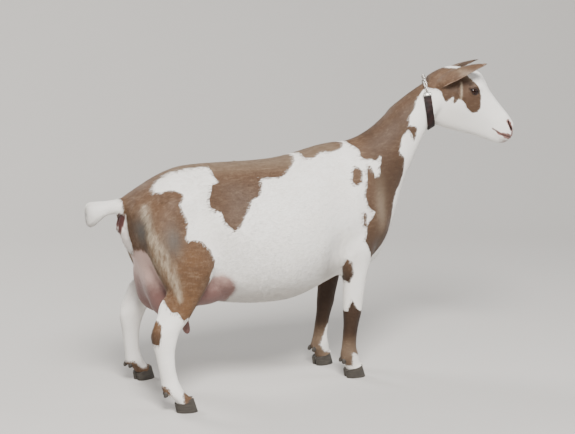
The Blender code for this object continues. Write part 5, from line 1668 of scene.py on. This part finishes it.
def collarEnds():
    # a rounded metal end on each side, with two rivets
    shapes = []
    for side in (-1, 1):
        turn = side * (collarPlan["reach"] + np.linspace(0.015, 0.200, 22))[:, None]
        run = np.linspace(-1, 1, 22)[:, None]
        swell = 0.0021 * np.sqrt(np.clip(1 - run**2, 0, 1)) + 0.0002
        share, height = strapSection(28, 1.0, 1.0)
        tall = collarPlan["thick"] + swell + 0.0005
        grid = collarSpot(turn, share * (1.03 - 0.05 * run**4), height * tall - 0.0005)
        shapes.append(closedGrid(grid if side > 0 else grid[:, ::-1]))
        for spot in (-0.5, 0.5):
            place = collarSpot(turn[9, 0], spot, collarPlan["thick"] + 0.0021)
            shapes.append(eggGrid(place, (0.0017, 0.0017, 0.0017), 8, 14))
    return meshObject("collar_metal_ends", *joined(shapes))


def collarChain():
    # oval links over the nape from end to end, each turned against the one before it
    start = collarPlan["reach"] + 0.250
    path = collarSpot(np.linspace(start, 2 * math.pi - start, collarPlan["links"] + 1), 0.0, 0.0052)
    shapes = []
    for k, (a, b) in enumerate(zip(path[:-1], path[1:])):
        ahead = unit(b - a)
        out = unit((a + b) / 2 - np.array(collarPlan["at"]))
        out = unit(out - ahead * (out @ ahead))
        across = np.cross(ahead, out)
        tilt = math.radians(22 if k % 2 else -62)
        across = across * math.cos(tilt) + out * math.sin(tilt)
        reach, half = np.linalg.norm(b - a) / 2 + 0.0018, 0.0030
        turn = turns(32)
        loop = (a + b) / 2 + np.outer(np.sign(np.cos(turn)) * np.abs(np.cos(turn)) ** 0.75, ahead) * reach
        loop = loop + np.outer(np.sign(np.sin(turn)) * np.abs(np.sin(turn)) ** 0.85, across) * half
        forward = unit(np.roll(loop, -1, 0) - np.roll(loop, 1, 0))
        flat = np.cross(ahead, across)
        outward = np.cross(forward, flat)
        wire = turns(10)[:, None]
        ring = outward[:, None] * np.cos(wire) + flat[None, None] * np.sin(wire)
        shapes.append(loopGrid(loop[:, None] + ring * 0.0013))
    return meshObject("collar_chain_links", *joined(shapes))


def leatherLook():
    # dark worn leather with a fine grain, and the thread of its stitches
    look = Look("worn_leather")
    thread = look.number("thread")
    grain = look.node("ShaderNodeTexVoronoi", {"feature": "F1"}, {"Vector": look.place(), "Scale": 900.0},
                      out="Distance")
    broad, fine = look.noise(60.0, 3.0), look.noise(500.0, 3.0)
    colour = look.mix(look.step(broad, 0.42, 0.70), collarPlan["leather"], (0.022, 0.0085, 0.0075))
    colour = look.mix(look.step(fine, 0.60, 0.75) * 0.35, colour, (0.045, 0.024, 0.019))
    colour = look.mix(thread, colour, collarPlan["thread"])
    return look.finish(colour=colour, rough=0.50 + 0.22 * fine + 0.2 * thread, specular=0.25,
                       normal=look.bump(grain * 0.5 + fine * 0.5, 0.35, 0.0006))


def steelLook():
    # bright steel dulled in places by handling
    look = Look("worn_steel")
    broad, fine = look.noise(70.0, 3.0), look.noise(900.0, 2.0)
    colour = look.mix(look.step(broad, 0.50, 0.72) * 0.6, collarPlan["steel"], (0.36, 0.33, 0.29))
    return look.finish(colour=colour, rough=0.22 + 0.25 * broad + 0.10 * fine, metal=1.0,
                       normal=look.bump(fine, 0.15, 0.0004))


hideIn(collarStrap(), leatherLook(), ["collar_strap"])
steelMaterial = steelLook()
hideIn(collarEnds(), steelMaterial, ["collar_end_left", "collar_end_right"])
hideIn(collarChain(), steelMaterial, ["collar_chain"])
print("collar made")


# Eyes: an eyeball with the iris and the level slit pupil marked on it, and the dark moist rim of the lids

eyeColours = {"iris": (0.030, 0.0105, 0.0050), "rim": (0.008, 0.0045, 0.0035), "white": (0.16, 0.11, 0.085)}


def eyeBalls():
    # balls with a slight corneal bulge; each point keeps its place across and up from the pupil
    shapes, places = [], []
    for centre, outward, along, above in eyeFrames():
        points, tris = eggGrid((0, 0, 0), (1, 1, 1), 64, 96)
        bulge = 1 + 0.035 * np.exp(-((1 - points[:, 2]) / 0.16) ** 2)
        spot = (points[:, :1] * along + points[:, 1:2] * above + points[:, 2:] * outward)
        flip = np.linalg.det(np.stack([along, above, outward])) < 0
        ball = centre + spot * (eyePlan["radius"] - 0.0004) * bulge[:, None]
        shapes.append((ball, tris[:, ::-1] if flip else tris))
        places.append(points)
    made = meshObject("goat_eyes", *joined(shapes))
    for name, values in zip(("slitAcross", "slitUp"), np.vstack(places).T):
        attribute(made, name, values)
    return made


def lidRims():
    # a moist cord along each lid's edge, thicker above
    shapes = []
    around = turns(96)
    for centre, outward, along, above in eyeFrames():
        a, upper = eyePlan["length"] / 2 * np.cos(around), np.sin(around) > 0
        flat = np.stack([a, np.where(upper, 1, -1) * slitHeight(a, upper)], -1)
        flat = (flat + np.roll(flat, 1, 0) + np.roll(flat, -1, 0)) / 3
        c = np.sqrt(np.clip(eyePlan["radius"] ** 2 - (flat**2).sum(1), 1e-6, None))
        way = unit(flat[:, :1] * along + flat[:, 1:] * above + c[:, None] * outward)
        path = centre + way * (eyePlan["radius"] + 0.00055)
        forward = unit(np.roll(path, -1, 0) - np.roll(path, 1, 0))
        turn = turns(10)[:, None]
        side = np.cross(forward, way)
        ring = way[:, None] * np.cos(turn) * 0.00062 + side[:, None] * np.sin(turn) * 0.00085
        shapes.append(loopGrid(path[:, None] + ring * (1 + 0.45 * upper)[:, None, None]))
    return meshObject("eyelid_rims", *joined(shapes))


def eyeLook():
    # level slit pupil, brown iris with fine spokes, dark rim; the white shows only at the corners
    look = Look("wet_eye")
    across, up = look.number("slitAcross"), look.number("slitUp")
    radial = (across * across + up * up).power(0.5)
    wobble = look.noise(700.0, 2.0)
    slit = look.step(across * across / 0.230 + up * up / 0.0190, 0.75, 1.15)
    angle = up.math("ARCTAN2", up, across)
    spokes = look.node("ShaderNodeTexNoise", {"noise_dimensions": "2D"},
                       {"Vector": look.node("ShaderNodeCombineXYZ", {}, {0: angle * 9.0, 1: radial * 3.0}),
                        "Scale": 1.6, "Detail": 2.0}, out="Fac")
    iris = look.mix(look.step(spokes, 0.30, 0.70), (0.015, 0.0055, 0.0030), eyeColours["iris"])
    iris = look.mix(look.step(radial, 0.50, 0.70), iris, eyeColours["rim"])
    colour = look.mix(slit, (0.004, 0.003, 0.003), iris)
    colour = look.mix(look.step(radial + wobble * 0.04, 0.90, 0.97) * 0.8, colour, eyeColours["white"])
    return look.finish(colour=colour, rough=0.10 + 0.05 * wobble, coat=0.10, coatRough=0.05, specular=0.16)


def rimLook():
    # dark moist skin of the lids' edges
    look = Look("moist_lid")
    fine = look.noise(900.0, 2.0)
    colour = look.mix(fine, (0.010, 0.005, 0.004), (0.026, 0.013, 0.010))
    return look.finish(colour=colour, rough=0.45 + 0.2 * fine, specular=0.18,
                       normal=look.bump(fine, 0.3, 0.0003))


hideIn(eyeBalls(), eyeLook(), ["eye_left", "eye_right"])
hideIn(lidRims(), rimLook(), [])
print("eyes made")


# Hooves: eight claws with growth rings, and the dewclaws' horn caps

hornPlan = {"ringStep": 0.0031, "ringDepth": 0.00016,
            "horn": (0.040, 0.035, 0.029), "pale": (0.070, 0.061, 0.051)}
clawOutline = [(-0.5, 0.08), (-0.30, 0.44), (0.02, 0.50), (0.30, 0.36), (0.48, 0.02),
               (0.50, -0.22), (0.30, -0.42), (0.0, -0.44), (-0.32, -0.42), (-0.48, -0.24)]


def clawGrid(foot, toeOut, half):
    # rings of the claw's outline from the rounded ground edge up to the hair, with growth grooves
    out = toeOut + half * 0.06
    outline = closedCurve(clawOutline, 56)
    share = np.concatenate([[0, 0, 0, 0.02], np.linspace(0.06, 0.93, 24), [0.96, 0.98, 0.995, 1]])[:, None]
    inset = np.concatenate([[0.55, 0.90, 0.965, 0.99], np.ones(24), [0.985, 0.965, 0.93, 0.86]])[:, None]
    a, b = outline[:, 0][None], outline[:, 1][None]
    length = clawPlan["length"] * (1 - 0.13 * share)
    wide = clawPlan["width"] * (1 - 0.06 * share)
    up = share * (clawPlan["heelHeight"] + (clawPlan["toeHeight"] - clawPlan["heelHeight"]) * (a + 0.5))
    up[:2] += np.array([[0.0014], [0.0010]])
    groove = np.sin(up / hornPlan["ringStep"] * 2 * math.pi + 2.2 * a + dice.random() * 6)
    groove *= ramp(share, 0.15, 0.3) * hornPlan["ringDepth"]
    scale = inset * (1 - 0.010) + groove / clawPlan["width"]
    along = a * length * scale - clawPlan["slope"] * share
    across = half * (clawPlan["spread"] + b * wide * scale)
    rings = np.stack([*turnedOut(foot, out, along, across), up], -1)
    return closedGrid(rings if half > 0 else rings[:, ::-1])


def hooves():
    # two claws to each foot
    return meshObject("cloven_hooves", *joined(clawGrid(foot, out, half) for _, _, foot, out in feet()
                                               for half in (-1, 1)))


def dewclaws():
    # horn caps: eggs drawn in towards the tip and leaning back
    shapes = []
    for place, out in dewclawPlaces():
        points, tris = eggGrid((0, 0, 0), legPlan["dewclawHorn"], 18, 24)
        points[:, 0] *= 1 - 0.25 * points[:, 2] / legPlan["dewclawHorn"][2]
        points[:, 2] += 0.20 * points[:, 0]
        turned = points @ np.array(Matrix.Rotation(out, 3, "Z")).T
        shapes.append((place + turned + np.array([-0.0014, 0, -0.0022]), tris))
    return meshObject("dewclaw_horns", *joined(shapes))


def hornLook():
    # grey horn with growth rings across and fibres down
    look = Look("hoof_horn")
    rings = look.noise((40.0, 40.0, 420.0), 3.0)
    fibres = look.noise((1400.0, 1400.0, 120.0), 2.0)
    broad = look.noise(60.0, 3.0)
    colour = look.mix(look.step(rings, 0.35, 0.75), hornPlan["horn"], hornPlan["pale"])
    colour = look.mix(look.step(broad, 0.42, 0.70) * 0.50, colour, (0.022, 0.018, 0.015))
    colour = look.mix(look.step(fibres, 0.55, 0.80) * 0.20, colour, (0.105, 0.093, 0.078))
    return look.finish(colour=colour, rough=0.42 + 0.25 * rings, specular=0.4,
                       normal=look.bump(rings * 0.6 + fibres * 0.4, 0.4, 0.0006))


hornMaterial = hornLook()
clawNames = [f"hoof_{kind}_{word}_{half}" for kind, word, _, _ in feet() for half in ("inner", "outer")]
hideIn(hooves(), hornMaterial, clawNames)
hideIn(dewclaws(), hornMaterial, [])
print("hooves made")


def coatPieces():
    # the tufts in pieces of a bearable size, each tuft's UV patch at its root's place on the unwrapped skin
    number = 0
    for long in (False, True):
        points, facing, values, uv = growTufts(long)
        corners = points.shape[1]
        faces, looks, patch, tips = tuftForms[corners]
        step = coatPlan["perPiece"] // len(faces)
        for start in range(0, len(points), step):
            number += 1
            part = slice(start, start + step)
            count = len(points[part])
            tris = (faces[None] + corners * np.arange(count)[:, None, None]).reshape(-1, 3)
            piece = meshObject(f"coat_{number:02d}", points[part].reshape(-1, 3), tris)
            for name, value in values.items():
                attribute(piece, name, np.repeat(value[part], corners))
            attribute(piece, "tip", np.tile(tips, count))
            layer = piece.data.uv_layers.new(name="OFBake")
            flat = uv[part][:, None] + patch[None]
            layer.data.foreach_set("uv", flat.reshape(-1, 2)[tris.reshape(-1)].astype(np.float32).ravel())
            piece.data.normals_split_custom_set(facing[part][:, looks].reshape(-1, 3).astype(np.float32))
            hideIn(piece, coatMaterial, [])
    return number


print("coat made", coatPieces())
legNodes = [f"{kind}leg_{word}" for kind in ("fore", "hind") for word in ("left", "right")]
hideIn(goatSkin, coatMaterial, ["torso", "neck", "head", "tail", "udder", "ear_left", "ear_right", *legNodes])
bpy.data.objects.remove(collarBody)


# Studio: a pale floor and backdrop in one sweep, soft lights, the photo's view

stagePlan = {
    "floor": (0.50, 0.485, 0.465), "paler": (0.53, 0.515, 0.495),
    "world": (0.72, 0.74, 0.78), "worldStrength": 0.36,
    # level ways from the doe to the camera and across its view
    "back": (-0.4384, -0.8988, 0.0), "aside": (0.8988, -0.4384, 0.0),
    # each lamp's place, aim, size, power and colour
    "lamps": {
        "key_light": ((-0.9, -2.4, 2.9), (0.05, 0, 0.35), 1.4, 290, (1.0, 0.97, 0.93)),
        "fill_light": ((2.8, -1.4, 1.7), (0.05, 0, 0.35), 1.8, 40, (0.92, 0.96, 1.0)),
        "rim_light": ((-1.5, 2.4, 2.4), (0.05, 0, 0.4), 1.2, 90, (1.0, 0.98, 0.95)),
    },
    # camera: place, way it looks, lens in millimetres
    "cameraAt": (-1.4223, -2.8429, 0.9560), "cameraWay": (0.4310, 0.8837, -0.1822), "lens": 90.157,
}


def sweep():
    # floor that turns up in a wide curve behind, as one strip seen along the camera's sideways direction
    back, side = np.array(stagePlan["back"]), np.array(stagePlan["aside"])
    bend = np.linspace(0, math.pi / 2, 20)[1:]
    reach = np.concatenate([np.linspace(3.5, -1.6, 20), -1.6 - 1.4 * np.sin(bend), np.full(8, -3.0)])
    height = np.concatenate([np.zeros(20), 1.4 - 1.4 * np.cos(bend), np.linspace(1.6, 4.5, 8)])
    reach, height, across = reach[:, None, None], height[:, None, None], np.linspace(-5, 5, 24)[:, None]
    points = (back * reach + side * across + np.array([0, 0, 1.0]) * height).reshape(-1, 3)
    rows, cols = np.meshgrid(np.arange(len(reach) - 1), np.arange(23), indexing="ij")
    a = (rows * 24 + cols).ravel()
    tris = np.concatenate([np.stack([a, a + 24, a + 25], -1), np.stack([a, a + 25, a + 1], -1)])
    return meshObject("studio_floor", points, tris)


def floorLook():
    # matt pale paper
    look = Look("studio_paper")
    broad, fine = look.noise(1.2, 2.0), look.noise(240.0, 2.0)
    colour = look.mix(broad, stagePlan["floor"], stagePlan["paler"])
    return look.finish(colour=colour, rough=0.85 + 0.1 * fine, normal=look.bump(fine, 0.05, 0.001))


floor = sweep()
floor.data.materials.append(floorLook())


def hang(name, data, place, way):
    # a lamp or camera at its place, looking the given way
    holder = bpy.data.objects.new(name, data)
    holder.location = place
    holder.rotation_euler = Vector(way).to_track_quat("-Z", "Y").to_euler()
    bpy.context.scene.collection.objects.link(holder)
    return holder


for name, (place, aim, size, power, colour) in stagePlan["lamps"].items():
    light = bpy.data.lights.new(name, "AREA")
    light.shape, light.size, light.energy, light.color = "DISK", size, power, colour
    hang(name, light, place, Vector(aim) - Vector(place))

world = bpy.data.worlds.new("studio_world")
world.use_nodes = True
background = world.node_tree.nodes["Background"]
background.inputs["Color"].default_value = (*stagePlan["world"], 1)
background.inputs["Strength"].default_value = stagePlan["worldStrength"]
bpy.context.scene.world = world

lens = bpy.data.cameras.new("photo_view")
lens.lens, lens.sensor_width = stagePlan["lens"], 36.0
bpy.context.scene.camera = hang("photo_view", lens, stagePlan["cameraAt"], stagePlan["cameraWay"])
